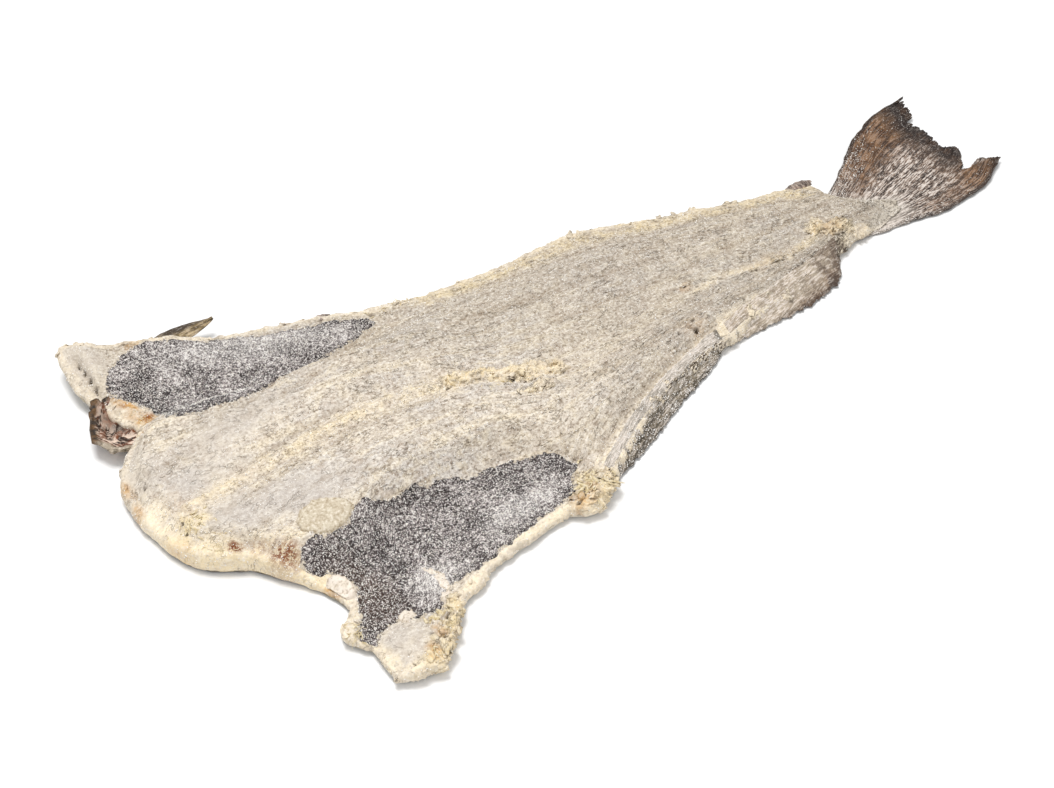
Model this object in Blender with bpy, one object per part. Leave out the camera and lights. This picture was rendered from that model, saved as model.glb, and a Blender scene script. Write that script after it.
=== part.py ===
"""Salted dried cod: one split fish, opened flat, skin side down.

The headless fish lies along X with its neck at -X and its tail fin at +X. The side nearer -Y
is the near side and the side nearer +Y is the far side. The cut flesh faces up, the skin rests
on the table at z = 0. The whole fish is one solid: a body lofted over the rows and columns of
the opened fillet, with the fins, the collar and the torn flesh joined to it.

Lengths are in metres. Until the last step, x is measured from the front of the neck.
"""
import math

import bmesh
import bpy
import numpy as np
from mathutils import Matrix, Vector

NODE_NAME = "dried_cod"

# ---- driving sizes -------------------------------------------------------------------------
LENGTH = 0.700            # neck to the tips of the tail fin
TAIL_BASE = 0.585         # where the flesh ends and the tail fin starts
HEAD_FADE = 0.200         # how far down the fish the shape of the head cut is felt
ROWS = 64                 # rows of faces from the neck to the tail fin's tips
COLUMNS = 28              # columns of faces from the near edge to the far edge
EDGE_BULGE = 0.30         # how far a cut edge rounds outwards, as a share of its thickness
EDGE_BULGE_MOST = 0.004
NECK_ROUNDING = 0.016     # length over which the neck's top edge rolls down

# ---- plan: each curve is a few (place, value) points, read smoothly ------------------------
# The outline of the flesh along the near side and the far side, and the line of the backbone.
NEAR_EDGE = [(0.086, -0.170), (0.102, -0.161), (0.111, -0.146), (0.124, -0.136), (0.143, -0.127),
             (0.159, -0.119), (0.191, -0.113), (0.214, -0.108), (0.232, -0.116), (0.247, -0.111),
             (0.262, -0.094), (0.297, -0.070), (0.337, -0.050), (0.377, -0.035), (0.410, -0.027),
             (0.458, -0.016), (0.499, -0.005), (0.523, 0.002), (0.540, 0.008), (0.564, 0.006),
             (0.596, 0.003), (0.620, 0.001), (0.661, 0.006), (0.700, 0.026)]
FAR_EDGE = [(0.018, 0.185), (0.030, 0.176), (0.052, 0.169), (0.077, 0.160), (0.094, 0.149),
            (0.119, 0.139), (0.151, 0.132), (0.184, 0.123), (0.208, 0.116), (0.249, 0.109),
            (0.282, 0.106), (0.331, 0.107), (0.363, 0.111), (0.412, 0.101), (0.453, 0.091),
            (0.493, 0.080), (0.526, 0.076), (0.548, 0.070), (0.560, 0.060), (0.575, 0.067),
            (0.599, 0.080), (0.632, 0.103), (0.660, 0.116), (0.688, 0.120)]
MIDDLE = [(0.000, 0.000), (0.034, 0.006), (0.064, 0.009), (0.105, 0.017), (0.160, 0.023), (0.196, 0.017),
          (0.222, 0.003), (0.270, -0.003), (0.350, 0.003), (0.452, 0.011), (0.540, 0.022), (0.600, 0.037),
          (0.690, 0.070)]
# The cut across the neck and the two wings: how far back it lies, read across the fish.
HEAD_CUT = [(-0.170, 0.083), (-0.158, 0.071), (-0.134, 0.067), (-0.125, 0.061), (-0.117, 0.060),
            (-0.097, 0.073), (-0.073, 0.061), (-0.049, 0.041), (-0.032, 0.018), (-0.016, 0.006),
            (0.012, 0.001), (0.045, 0.004), (0.066, 0.013), (0.078, 0.021), (0.098, 0.034),
            (0.118, 0.024), (0.150, 0.012), (0.185, 0.018)]
# The ragged rear edge of the tail fin, read across the fish.
TAIL_END = [(0.026, 0.700), (0.036, 0.694), (0.038, 0.674), (0.044, 0.676), (0.050, 0.685),
            (0.060, 0.686), (0.063, 0.674), (0.078, 0.677), (0.096, 0.681), (0.099, 0.676),
            (0.106, 0.685), (0.120, 0.688)]

# ---- heights, read along the fish ----------------------------------------------------------
LOIN_HEIGHT = [(0.000, 0.019), (0.040, 0.024), (0.110, 0.027), (0.200, 0.026), (0.300, 0.022),
               (0.400, 0.018), (0.500, 0.014), (0.560, 0.012), (0.600, 0.007), (0.630, 0.0028),
               (0.700, 0.0018)]
NEAR_THICKNESS = [(0.000, 0.010), (0.100, 0.008), (0.200, 0.007), (0.300, 0.009), (0.450, 0.009),
                  (0.560, 0.007), (0.600, 0.004), (0.630, 0.0022), (0.700, 0.0016)]
FAR_THICKNESS = [(0.000, 0.009), (0.100, 0.007), (0.200, 0.007), (0.300, 0.009), (0.450, 0.009),
                 (0.560, 0.007), (0.600, 0.004), (0.630, 0.0022), (0.700, 0.0016)]
# How far each edge of the skin is raised off the table.
NEAR_LIFT = [(0.000, 0.003), (0.150, 0.001), (0.300, 0.001), (0.560, 0.001), (0.660, 0.002),
             (0.700, 0.004)]
FAR_LIFT = [(0.000, 0.014), (0.060, 0.012), (0.100, 0.010), (0.150, 0.009), (0.200, 0.007),
            (0.300, 0.004), (0.400, 0.003), (0.560, 0.002), (0.620, 0.004), (0.700, 0.012)]
CHANNEL_DEPTH = [(0.000, 0.000), (0.050, 0.004), (0.150, 0.006), (0.250, 0.005), (0.400, 0.003),
                 (0.540, 0.002), (0.600, 0.000)]
CHANNEL_WIDTH = 0.011     # half width of the groove that the backbone left
RIDGE_HEIGHT = 0.0035     # the strip of backbone lining left in the groove
RIDGE_WIDTH = 0.004
# Where the thick loin starts to thin and where it has become flap, as shares of the half width.
NEAR_SHOULDER = [(0.000, 0.34), (0.220, 0.36), (0.290, 0.55), (0.600, 0.60)]
NEAR_SHOULDER_FOOT = [(0.000, 0.54), (0.210, 0.58), (0.290, 0.98), (0.700, 1.00)]
FAR_SHOULDER = [(0.000, 0.42), (0.180, 0.46), (0.260, 0.58), (0.600, 0.60)]
FAR_SHOULDER_FOOT = [(0.000, 0.60), (0.160, 0.66), (0.260, 0.98), (0.700, 1.00)]
LIFT_START = 0.40         # share of the half width where the skin starts to leave the table

# Raised or sunk places of the flesh: x, y, reach along, reach across, height.
SWELLINGS = [
    (0.092, -0.150, 0.014, 0.014, 0.006),    # thick end of the near wing
    (0.066, -0.118, 0.007, 0.006, 0.004),    # spur of the near wing
    (0.236, -0.102, 0.015, 0.012, 0.007),    # torn flesh at the rear of the near flap
    (0.026, 0.160, 0.009, 0.024, 0.005),     # rolled rim of the far wing
    (0.024, -0.026, 0.016, 0.026, 0.004),    # rolled rim of the neck, near side
    (0.032, 0.088, 0.010, 0.012, 0.004),     # flesh beside the collar
    (0.244, -0.003, 0.026, 0.011, 0.004),    # knotted flesh at the end of the groove
    (0.536, 0.021, 0.015, 0.007, 0.002),     # knots at the tail end of the groove
    (0.112, 0.056, 0.050, 0.014, 0.002),     # crest of the far loin
    (0.130, -0.020, 0.060, 0.016, 0.002),    # crest of the near loin
    (0.060, 0.012, 0.018, 0.012, -0.003),    # hollow behind the neck
]

# ---- pieces joined to the body -------------------------------------------------------------
FIN_THICKNESS = 0.0024
FIN_OVERLAP = 0.010       # how far a fin's root reaches into the flesh
FIN_FLOOR = 0.0006        # the fins clear the table by this much
# Each fin of the near edge: root from, root to, and how far it stands out, along its root.
FIRST_ANAL_FIN = [(0.258, 0.005), (0.285, 0.011), (0.310, 0.013), (0.345, 0.011), (0.372, 0.008),
                  (0.390, 0.003)]
SECOND_ANAL_FIN = [(0.398, 0.003), (0.420, 0.009), (0.450, 0.016), (0.475, 0.020), (0.495, 0.020),
                   (0.508, 0.017), (0.514, 0.008)]
FIN_SECTIONS = 14

PECTORAL_ROOT = Vector((0.056, 0.152, 0.0095))
PECTORAL_TIP = Vector((0.114, 0.172, 0.0095))
PECTORAL_WIDTH = 0.019
PECTORAL_THICKNESS = 0.0024
PECTORAL_SECTIONS = 8

COLLAR_CENTRE = Vector((0.036, 0.101, 0.0))
COLLAR_REACH_X = 0.033    # the collar's wall is half an ellipse, open towards the flesh
COLLAR_REACH_Y = 0.026
COLLAR_HEIGHT = 0.013
COLLAR_WALL = 0.005
COLLAR_FLOOR = 0.004
COLLAR_SEGMENTS = 14

DORSAL_STUB = Vector((0.543, 0.071, 0.008))
DORSAL_STUB_SIZE = Vector((0.022, 0.018, 0.010))
FAR_STUB = Vector((0.174, 0.124, 0.013))
FAR_STUB_SIZE = Vector((0.014, 0.008, 0.008))

# ---- materials: colour, roughness, metallic ------------------------------------------------
FLESH_COLOUR = (0.62, 0.55, 0.45, 1.0)
FLESH_ROUGHNESS = 0.75


def clear_scene():
    """Remove every object of the scene."""
    for leftover in list(bpy.data.objects):
        bpy.data.objects.remove(leftover, do_unlink=True)


def smooth_curve(points, places):
    """Read a smooth curve through (place, value) points that never overshoots them."""
    knots = np.array([place for place, _ in points], dtype=float)
    values = np.array([value for _, value in points], dtype=float)
    steps = np.diff(knots)
    slopes = np.diff(values) / steps
    tangents = np.zeros(len(knots))
    tangents[0] = slopes[0]
    tangents[-1] = slopes[-1]
    before = slopes[:-1]
    after = slopes[1:]
    same_way = before * after > 0.0
    tangents[1:-1][same_way] = (2.0 * before * after)[same_way] / (before + after)[same_way]
    where = np.clip(np.asarray(places, dtype=float), knots[0], knots[-1])
    span = np.clip(np.searchsorted(knots, where, side="right") - 1, 0, len(steps) - 1)
    share = (where - knots[span]) / steps[span]
    rise = (1.0 + 2.0 * share) * (1.0 - share) ** 2 * values[span]
    rise += share * (1.0 - share) ** 2 * steps[span] * tangents[span]
    rise += share ** 2 * (3.0 - 2.0 * share) * values[span + 1]
    rise += share ** 2 * (share - 1.0) * steps[span] * tangents[span + 1]
    return rise


def ease(start, end, value):
    """Rise smoothly from 0 at start to 1 at end."""
    share = np.clip((value - start) / (end - start), 0.0, 1.0)
    return share * share * (3.0 - 2.0 * share)


def plan_points(along, across):
    """Place rows (0 at the neck, 1 at the fin tips) and columns (-1 near, 1 far) on the table."""
    middle_front = smooth_curve(MIDDLE, 0.0)
    front_half = np.where(across < 0.0, middle_front - HEAD_CUT[0][0], HEAD_CUT[-1][0] - middle_front)
    cut = smooth_curve(HEAD_CUT, middle_front + across * front_half)
    middle_rear = smooth_curve(MIDDLE, LENGTH)
    rear_half = np.where(across < 0.0, middle_rear - TAIL_END[0][0], TAIL_END[-1][0] - middle_rear)
    end = smooth_curve(TAIL_END, middle_rear + across * rear_half)
    straight = along * LENGTH
    head_share = np.clip(1.0 - straight / HEAD_FADE, 0.0, 1.0) ** 1.5
    tail_share = np.clip((straight - TAIL_BASE) / (LENGTH - TAIL_BASE), 0.0, 1.0) ** 1.5
    x = straight + cut * head_share + (end - LENGTH) * tail_share
    middle = smooth_curve(MIDDLE, x)
    edge = np.where(across < 0.0, smooth_curve(NEAR_EDGE, x), smooth_curve(FAR_EDGE, x))
    return x, middle + np.abs(across) * (edge - middle)


def side_value(near, far, x, across):
    """Read one of two curves, by the side of the fish."""
    return np.where(across < 0.0, smooth_curve(near, x), smooth_curve(far, x))


def skin_height(x, across):
    """Height of the skin above the table: nothing but towards the lifted edges."""
    lift = side_value(NEAR_LIFT, FAR_LIFT, x, across)
    return lift * ease(LIFT_START, 1.0, np.abs(across)) ** 1.5


def flesh_thickness(x, y, across, from_neck):
    """Thickness of the fish, from the skin up to the cut flesh."""
    reach = np.abs(across)
    edge = side_value(NEAR_THICKNESS, FAR_THICKNESS, x, across)
    shoulder = side_value(NEAR_SHOULDER, FAR_SHOULDER, x, across)
    foot = side_value(NEAR_SHOULDER_FOOT, FAR_SHOULDER_FOOT, x, across)
    loin = smooth_curve(LOIN_HEIGHT, x)
    thickness = loin + (edge - loin) * ease(shoulder, foot, reach)
    from_middle = y - smooth_curve(MIDDLE, x)
    groove = np.exp(-(from_middle / CHANNEL_WIDTH) ** 2)
    ridge = np.exp(-(from_middle / RIDGE_WIDTH) ** 2)
    depth = smooth_curve(CHANNEL_DEPTH, x)
    thickness = thickness - depth * groove + RIDGE_HEIGHT * (depth / CHANNEL_DEPTH[2][1]) * ridge
    for place_x, place_y, reach_x, reach_y, height in SWELLINGS:
        spread = ((x - place_x) / reach_x) ** 2 + ((y - place_y) / reach_y) ** 2
        thickness = thickness + height * np.exp(-spread)
    return thickness * (0.62 + 0.38 * ease(0.0, NECK_ROUNDING, from_neck))


def material(name, colour, roughness):
    """Make a plain Principled material."""
    finish = bpy.data.materials.new(name)
    finish.use_nodes = True
    shader = finish.node_tree.nodes["Principled BSDF"]
    shader.inputs["Base Color"].default_value = colour
    shader.inputs["Roughness"].default_value = roughness
    shader.inputs["Metallic"].default_value = 0.0
    return finish


def new_object(name, mesh_data):
    """Turn a bmesh into an object, with its faces pointing out."""
    bmesh.ops.recalc_face_normals(mesh_data, faces=mesh_data.faces)
    mesh = bpy.data.meshes.new(name)
    mesh_data.to_mesh(mesh)
    mesh_data.free()
    made = bpy.data.objects.new(name, mesh)
    bpy.context.scene.collection.objects.link(made)
    return made


def boundary_loop(rows, columns):
    """List the grid places around the edge, anticlockwise seen from above."""
    loop = [(row, 0) for row in range(rows)]
    loop += [(rows, column) for column in range(columns)]
    loop += [(row, columns) for row in range(rows, 0, -1)]
    loop += [(0, column) for column in range(columns, 0, -1)]
    return loop


def rounded_slab(name, top, bottom):
    """Close two grids of points into one solid whose edge bulges outwards.

    Both grids are (rows, columns, 3) arrays. Rows run towards +X and columns towards +Y.
    """
    rows = top.shape[0] - 1
    columns = top.shape[1] - 1
    mesh_data = bmesh.new()
    upper = [[mesh_data.verts.new(point) for point in line] for line in top]
    lower = [[mesh_data.verts.new(point) for point in line] for line in bottom]
    for row in range(rows):
        for column in range(columns):
            ring = ((row, column), (row + 1, column), (row + 1, column + 1), (row, column + 1))
            mesh_data.faces.new([upper[i][j] for i, j in ring])
            mesh_data.faces.new([lower[i][j] for i, j in reversed(ring)])
    loop = boundary_loop(rows, columns)
    middle = []
    for place, (i, j) in enumerate(loop):
        before = loop[place - 1]
        after = loop[(place + 1) % len(loop)]
        heading = top[after] - top[before]
        outward = np.array([heading[1], -heading[0], 0.0])
        outward /= max(np.linalg.norm(outward), 1e-9)
        height = top[i, j, 2] - bottom[i, j, 2]
        bulge = min(height * EDGE_BULGE, EDGE_BULGE_MOST)
        point = 0.5 * (top[i, j] + bottom[i, j]) + outward * bulge
        middle.append(mesh_data.verts.new(point))
    for place, (i, j) in enumerate(loop):
        after = (place + 1) % len(loop)
        next_i, next_j = loop[after]
        mesh_data.faces.new((upper[i][j], middle[place], middle[after], upper[next_i][next_j]))
        mesh_data.faces.new((middle[place], lower[i][j], lower[next_i][next_j], middle[after]))
    return new_object(name, mesh_data)


def make_body():
    """Loft the opened fish, from the neck to the tips of the tail fin."""
    row_share = np.interp(np.arange(ROWS + 1) / ROWS, [0.0, 0.09, 0.86, 1.0], [0.0, 0.045, 0.865, 1.0])
    even = np.linspace(-1.0, 1.0, COLUMNS + 1)
    column_place = 0.7 * even + 0.3 * np.sin(0.5 * math.pi * even)
    along, across = np.meshgrid(row_share, column_place, indexing="ij")
    x, y = plan_points(along, across)
    skin = skin_height(x, across)
    thickness = flesh_thickness(x, y, across, along * LENGTH)
    top = np.stack([x, y, skin + thickness], axis=-1)
    bottom = np.stack([x, y, skin], axis=-1)
    return rounded_slab(NODE_NAME, top, bottom)


def make_edge_fin(name, reach):
    """Lay a fin flat along the near edge, its root inside the flesh."""
    stations = np.linspace(reach[0][0], reach[-1][0], FIN_SECTIONS + 1)
    root = smooth_curve(NEAR_EDGE, stations)
    out = smooth_curve(reach, stations)
    shares = np.array([0.0, 0.5, 1.0])
    x = np.repeat(stations[:, None], 3, axis=1)
    y = root[:, None] - out[:, None] + shares[None, :] * (out[:, None] + FIN_OVERLAP)
    skin = np.full_like(x, FIN_FLOOR)
    height = FIN_THICKNESS * (0.7 + 0.5 * shares[None, :]) * np.ones_like(x)
    top = np.stack([x, y, skin + height], axis=-1)
    bottom = np.stack([x, y, skin], axis=-1)
    return rounded_slab(name, top, bottom)


def make_pectoral_fin():
    """Make the leaf-shaped fin that sticks out from under the far edge."""
    shares = np.linspace(0.0, 1.0, PECTORAL_SECTIONS + 1)
    axis = PECTORAL_TIP - PECTORAL_ROOT
    side = Vector((-axis.y, axis.x, 0.0)).normalized()
    centre = np.array(PECTORAL_ROOT)[None, :] + shares[:, None] * np.array(axis)[None, :]
    half = 0.5 * PECTORAL_WIDTH * (1.0 - shares ** 2.2) + 0.0008
    spread = np.array([-1.0, 0.0, 1.0])
    grid = centre[:, None, :] + (half[:, None] * spread[None, :])[:, :, None] * np.array(side)
    bottom = grid.copy()
    top = grid.copy()
    top[:, :, 2] += PECTORAL_THICKNESS * (1.0 - 0.4 * shares[:, None])
    return rounded_slab("pectoral_fin", top, bottom)


def make_collar():
    """Make the cup of skin and bone that is left under the far wing: a wall and a floor."""
    mesh_data = bmesh.new()
    outer_low = []
    outer_high = []
    inner_high = []
    inner_low = []
    for step in range(COLLAR_SEGMENTS + 1):
        angle = math.radians(80.0 + 200.0 * step / COLLAR_SEGMENTS)
        direction = Vector((math.cos(angle) * COLLAR_REACH_X, math.sin(angle) * COLLAR_REACH_Y, 0.0))
        inner = direction * (1.0 - COLLAR_WALL / direction.length)
        rise = COLLAR_HEIGHT * (0.85 + 0.15 * math.sin(3.0 * angle))
        outer_low.append(mesh_data.verts.new(COLLAR_CENTRE + direction * 0.92))
        outer_high.append(mesh_data.verts.new(COLLAR_CENTRE + direction + Vector((0.0, 0.0, rise))))
        inner_high.append(mesh_data.verts.new(COLLAR_CENTRE + inner + Vector((0.0, 0.0, rise))))
        inner_low.append(mesh_data.verts.new(COLLAR_CENTRE + inner * 0.9 + Vector((0.0, 0.0, COLLAR_FLOOR))))
    centre_low = mesh_data.verts.new(COLLAR_CENTRE)
    centre_high = mesh_data.verts.new(COLLAR_CENTRE + Vector((0.0, 0.0, COLLAR_FLOOR)))
    for step in range(COLLAR_SEGMENTS):
        following = step + 1
        for first, second in ((outer_low, outer_high), (outer_high, inner_high), (inner_high, inner_low)):
            mesh_data.faces.new((first[step], first[following], second[following], second[step]))
        mesh_data.faces.new((inner_low[step], inner_low[following], centre_high))
        mesh_data.faces.new((outer_low[following], outer_low[step], centre_low))
    for step in (0, COLLAR_SEGMENTS):
        mesh_data.faces.new((outer_low[step], outer_high[step], inner_high[step], inner_low[step],
                             centre_high, centre_low))
    return new_object("collar", mesh_data)


def make_stub(name, place, size):
    """Make a small rounded stump, what is left of a cut fin."""
    mesh_data = bmesh.new()
    bmesh.ops.create_icosphere(mesh_data, subdivisions=2, radius=0.5)
    bmesh.ops.scale(mesh_data, vec=size, verts=mesh_data.verts)
    bmesh.ops.translate(mesh_data, vec=place, verts=mesh_data.verts)
    return new_object(name, mesh_data)


def join_to(body, piece):
    """Unite a piece with the body and hide the piece."""
    union = body.modifiers.new("join_" + piece.name, "BOOLEAN")
    union.operation = "UNION"
    union.solver = "EXACT"
    union.object = piece
    piece.hide_render = True
    piece.display_type = "WIRE"


def stand_on_origin(objects, body):
    """Move everything so that the middle of the fish's box is over the origin."""
    bpy.context.view_layer.update()
    evaluated = body.evaluated_get(bpy.context.evaluated_depsgraph_get())
    corners = np.array([list(evaluated.matrix_world @ vertex.co) for vertex in evaluated.data.vertices])
    low = corners.min(axis=0)
    high = corners.max(axis=0)
    shift = Vector((-0.5 * (low[0] + high[0]), -0.5 * (low[1] + high[1]), -low[2]))
    for moved in objects:
        moved.data.transform(Matrix.Translation(shift))


def main():
    """Build the fish."""
    clear_scene()
    body = make_body()
    pieces = [
        make_edge_fin("first_anal_fin", FIRST_ANAL_FIN),
        make_edge_fin("second_anal_fin", SECOND_ANAL_FIN),
        make_pectoral_fin(),
        make_collar(),
        make_stub("dorsal_stub", DORSAL_STUB, DORSAL_STUB_SIZE),
        make_stub("far_stub", FAR_STUB, FAR_STUB_SIZE),
    ]
    for piece in pieces:
        join_to(body, piece)
    stand_on_origin([body] + pieces, body)
    body.data.materials.append(material("dried_flesh", FLESH_COLOUR, FLESH_ROUGHNESS))
    body.data.shade_smooth()


main()
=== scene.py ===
"""Looks of the salted dried cod: cut flesh, belly linings, skin, fins, torn edges and salt.

The opened fish is read as a plan of rows (neck to tail) and columns (near edge to far edge).
Every piece takes its place from that plan, and the plan takes its size from the frame's box.
Lengths are in metres, and plan places are measured from the front of the neck.
"""
import logging
import math
from dataclasses import dataclass
from enum import Enum
from typing import Any, Callable, Sequence, Union

import bpy
import numpy as np
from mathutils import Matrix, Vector


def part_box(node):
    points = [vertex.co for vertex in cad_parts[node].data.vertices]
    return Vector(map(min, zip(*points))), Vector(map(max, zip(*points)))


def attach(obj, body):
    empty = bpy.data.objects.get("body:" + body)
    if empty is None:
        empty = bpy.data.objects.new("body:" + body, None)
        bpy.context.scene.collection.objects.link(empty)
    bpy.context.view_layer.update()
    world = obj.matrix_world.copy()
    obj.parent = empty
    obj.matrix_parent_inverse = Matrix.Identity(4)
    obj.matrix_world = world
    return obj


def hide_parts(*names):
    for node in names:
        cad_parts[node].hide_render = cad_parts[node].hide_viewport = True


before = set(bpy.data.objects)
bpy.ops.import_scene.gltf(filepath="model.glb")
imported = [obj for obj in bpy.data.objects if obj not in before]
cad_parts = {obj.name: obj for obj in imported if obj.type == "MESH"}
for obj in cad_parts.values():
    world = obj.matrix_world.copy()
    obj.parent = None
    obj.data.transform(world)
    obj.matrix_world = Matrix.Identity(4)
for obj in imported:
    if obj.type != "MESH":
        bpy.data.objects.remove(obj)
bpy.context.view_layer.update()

LOG = logging.getLogger("dried_cod")
NODE = "dried_cod"
BODY = "root"

# The plan's own box, which is laid onto the frame's box.
PLAN_LOW = Vector((-0.0024, -0.1715, 0))
PLAN_SIZE = Vector((0.70275, 0.3582, 0.02893))
LENGTH = 0.7
TAIL_BASE = 0.585
FLESH_END = 0.596
HEAD_FADE = 0.2
SKIN = 0.0009             # thickness of the skin under the flesh

FRAY = 0.25               # how far patch borders are frayed, as a share of their reach
STROKE_FRAY = 0.004       # how far strokes are frayed, in metres
COLUMN_WIDTH = 0.12       # turns columns into metres, for patterns that run along the fibres
STEEPEST = -0.25          # nothing is scattered where the surface faces further down
LOWEST = 0.0018           # nothing is scattered below this height

Array = np.ndarray
Number = Union[float, Array]
Piece = bpy.types.Object
Colour = tuple[float, float, float, float]


def ease(start: Number, end: Number, value: Number) -> Number:
    """Rise smoothly from 0 at start to 1 at end.

    Args:
        start: Where the rise begins.
        end: Where the rise is over; it may lie below start.
        value: The place to read, a number or an array.

    Returns:
        The height of the rise, from 0 to 1.
    """
    share = np.clip((value - start) / (end - start), 0, 1)
    return share * share * (3 - 2 * share)


def rgb(red: int, green: int, blue: int) -> Colour:
    """Turn a display colour of 0 to 255 into the linear colour that a shader takes.

    Args:
        red: Display red.
        green: Display green.
        blue: Display blue.

    Returns:
        The linear colour, with an alpha of 1.
    """
    shares = (level / 255 for level in (red, green, blue))
    linear = [share / 12.92 if share <= 0.04045 else ((share + 0.055) / 1.055) ** 2.4 for share in shares]
    return (*linear, 1)


# ---- curves and noise
@dataclass(frozen=True)
class SmoothCurve:
    """A smooth curve through (place, value) points that never overshoots them."""

    points: tuple[tuple[float, float], ...]

    def at(self, places: Number) -> Array:
        """Read the curve.

        Args:
            places: Where to read it; beyond its ends the end values hold.

        Returns:
            The values there.
        """
        knots = np.array([place for place, _ in self.points])
        values = np.array([value for _, value in self.points])
        steps = np.diff(knots)
        slopes = np.diff(values) / steps
        tangents = np.zeros(len(knots))
        tangents[0] = slopes[0]
        tangents[-1] = slopes[-1]
        before = slopes[:-1]
        after = slopes[1:]
        same_way = before * after > 0
        tangents[1:-1][same_way] = (2 * before * after)[same_way] / (before + after)[same_way]
        where = np.clip(np.asarray(places, dtype=float), knots[0], knots[-1])
        span = np.clip(np.searchsorted(knots, where, side="right") - 1, 0, len(steps) - 1)
        share = (where - knots[span]) / steps[span]
        rise = (1 + 2 * share) * (1 - share) ** 2 * values[span]
        rise += share * (1 - share) ** 2 * steps[span] * tangents[span]
        rise += share ** 2 * (3 - 2 * share) * values[span + 1]
        rise += share ** 2 * (share - 1) * steps[span] * tangents[span + 1]
        return rise


class Roughness:
    """Repeatable unevenness over a plane."""

    TABLE = 256

    def __init__(self, seed: int) -> None:
        """Draw the tables.

        Args:
            seed: Which pattern to draw.
        """
        draw = np.random.default_rng(seed)
        turn = draw.random((self.TABLE, self.TABLE)) * 2 * math.pi
        self.push_x = np.cos(turn)
        self.push_y = np.sin(turn)
        self.spot = draw.random((self.TABLE, self.TABLE, 3))

    def squares(self, x: Number, y: Number, size: float) -> tuple[Array, Array, Array, Array]:
        """Lay squares over a plane.

        Args:
            x: Places along.
            y: Places across.
            size: Width of one square.

        Returns:
            The places in squares, along and across, and the numbers of the squares that hold them.
        """
        along = np.asarray(x, dtype=float) / size
        across = np.asarray(y, dtype=float) / size
        return along, across, np.floor(along).astype(int), np.floor(across).astype(int)

    def smooth(self, x: Number, y: Number, size: float) -> Array:
        """Read smooth noise.

        Args:
            x: Places along.
            y: Places across.
            size: Width of one swell.

        Returns:
            Heights from about -1 to 1.
        """
        gx, gy, ix, iy = self.squares(x, y, size)
        fx = gx - ix
        fy = gy - iy
        wx = fx ** 3 * (fx * (fx * 6 - 15) + 10)
        wy = fy ** 3 * (fy * (fy * 6 - 15) + 10)
        corners = []
        for step_x, step_y in ((0, 0), (1, 0), (0, 1), (1, 1)):
            place = ((ix + step_x) % self.TABLE, (iy + step_y) % self.TABLE)
            corners.append(self.push_x[place] * (fx - step_x) + self.push_y[place] * (fy - step_y))
        low = corners[0] + wx * (corners[1] - corners[0])
        high = corners[2] + wx * (corners[3] - corners[2])
        return 1.5 * (low + wy * (high - low))

    def layered(self, x: Number, y: Number, size: float, layers: int, gain: float = 0.5) -> Array:
        """Read noise with finer noise on top.

        Args:
            x: Places along.
            y: Places across.
            size: Width of the broadest swell.
            layers: How many times finer noise is added.
            gain: How much weaker each finer layer is.

        Returns:
            Heights from about -1 to 1.
        """
        total = np.zeros(np.broadcast(np.asarray(x), np.asarray(y)).shape)
        weight = 1
        whole = 0
        for layer in range(layers):
            shift = 17.3 * layer * size
            total = total + weight * self.smooth(x + shift, y - shift, size / 2.03 ** layer)
            whole += weight
            weight *= gain
        return total / whole

    def cells(self, x: Number, y: Number, size: float) -> Array:
        """Read a pattern of scattered spots.

        Args:
            x: Places along.
            y: Places across.
            size: Mean distance between spots.

        Returns:
            The distance to the nearest spot, as a share of size.
        """
        gx, gy, ix, iy = self.squares(x, y, size)
        nearest = np.full(gx.shape, 9.0)
        for step_x in (-1, 0, 1):
            for step_y in (-1, 0, 1):
                spot = self.spot[(ix + step_x) % self.TABLE, (iy + step_y) % self.TABLE]
                away = np.hypot(ix + step_x + spot[..., 0] - gx, iy + step_y + spot[..., 1] - gy)
                nearest = np.minimum(nearest, away)
        return nearest


# The unevenness that every piece shares.
WAVE = Roughness(11)
FOLDS = Roughness(23)
CRUMB = Roughness(37)


@dataclass(frozen=True)
class Patch:
    """A soft oval area of the plan."""

    x: float
    y: float
    reach_x: float
    reach_y: float
    turn: float = 0.0
    soft: float = 0.35

    def at(self, x: Array, y: Array, fray: Number = 0) -> Array:
        """Say how far inside the patch the places are.

        Args:
            x: Places along.
            y: Places across.
            fray: How much its border is pushed in and out, as a share of its reach.

        Returns:
            1 well inside and 0 outside.
        """
        angle = math.radians(self.turn)
        along = (x - self.x) * math.cos(angle) + (y - self.y) * math.sin(angle)
        across = (y - self.y) * math.cos(angle) - (x - self.x) * math.sin(angle)
        away = np.hypot(along / self.reach_x, across / self.reach_y) + fray
        return 1 - ease(1 - self.soft, 1 + self.soft, away)


@dataclass(frozen=True)
class Stroke:
    """A soft line of the plan through a few points, such as a crease or a ridge."""

    points: tuple[tuple[float, float], ...]
    width: float

    def away(self, x: Array, y: Array) -> Array:
        """Measure how far places are from the line.

        Args:
            x: Places along.
            y: Places across.

        Returns:
            The distance in metres.
        """
        ends = np.array(self.points)
        nearest = np.full(np.shape(x), 9.0)
        for (x0, y0), (x1, y1) in zip(ends[:-1], ends[1:]):
            run_x = x1 - x0
            run_y = y1 - y0
            share = ((x - x0) * run_x + (y - y0) * run_y) / (run_x ** 2 + run_y ** 2)
            share = np.clip(share, 0, 1)
            nearest = np.minimum(nearest, np.hypot(x - x0 - share * run_x, y - y0 - share * run_y))
        return nearest

    def at(self, x: Array, y: Array, fray: Number = 0) -> Array:
        """Say how near the line places are: 1 on it, falling to 0 at its width, give or take its fray."""
        return np.exp(-((self.away(x, y) + fray) / self.width) ** 2)


# ---- the fish's plan
class Side(Enum):
    """The two sides of the opened fish."""

    NEAR = -1
    FAR = 1


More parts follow.
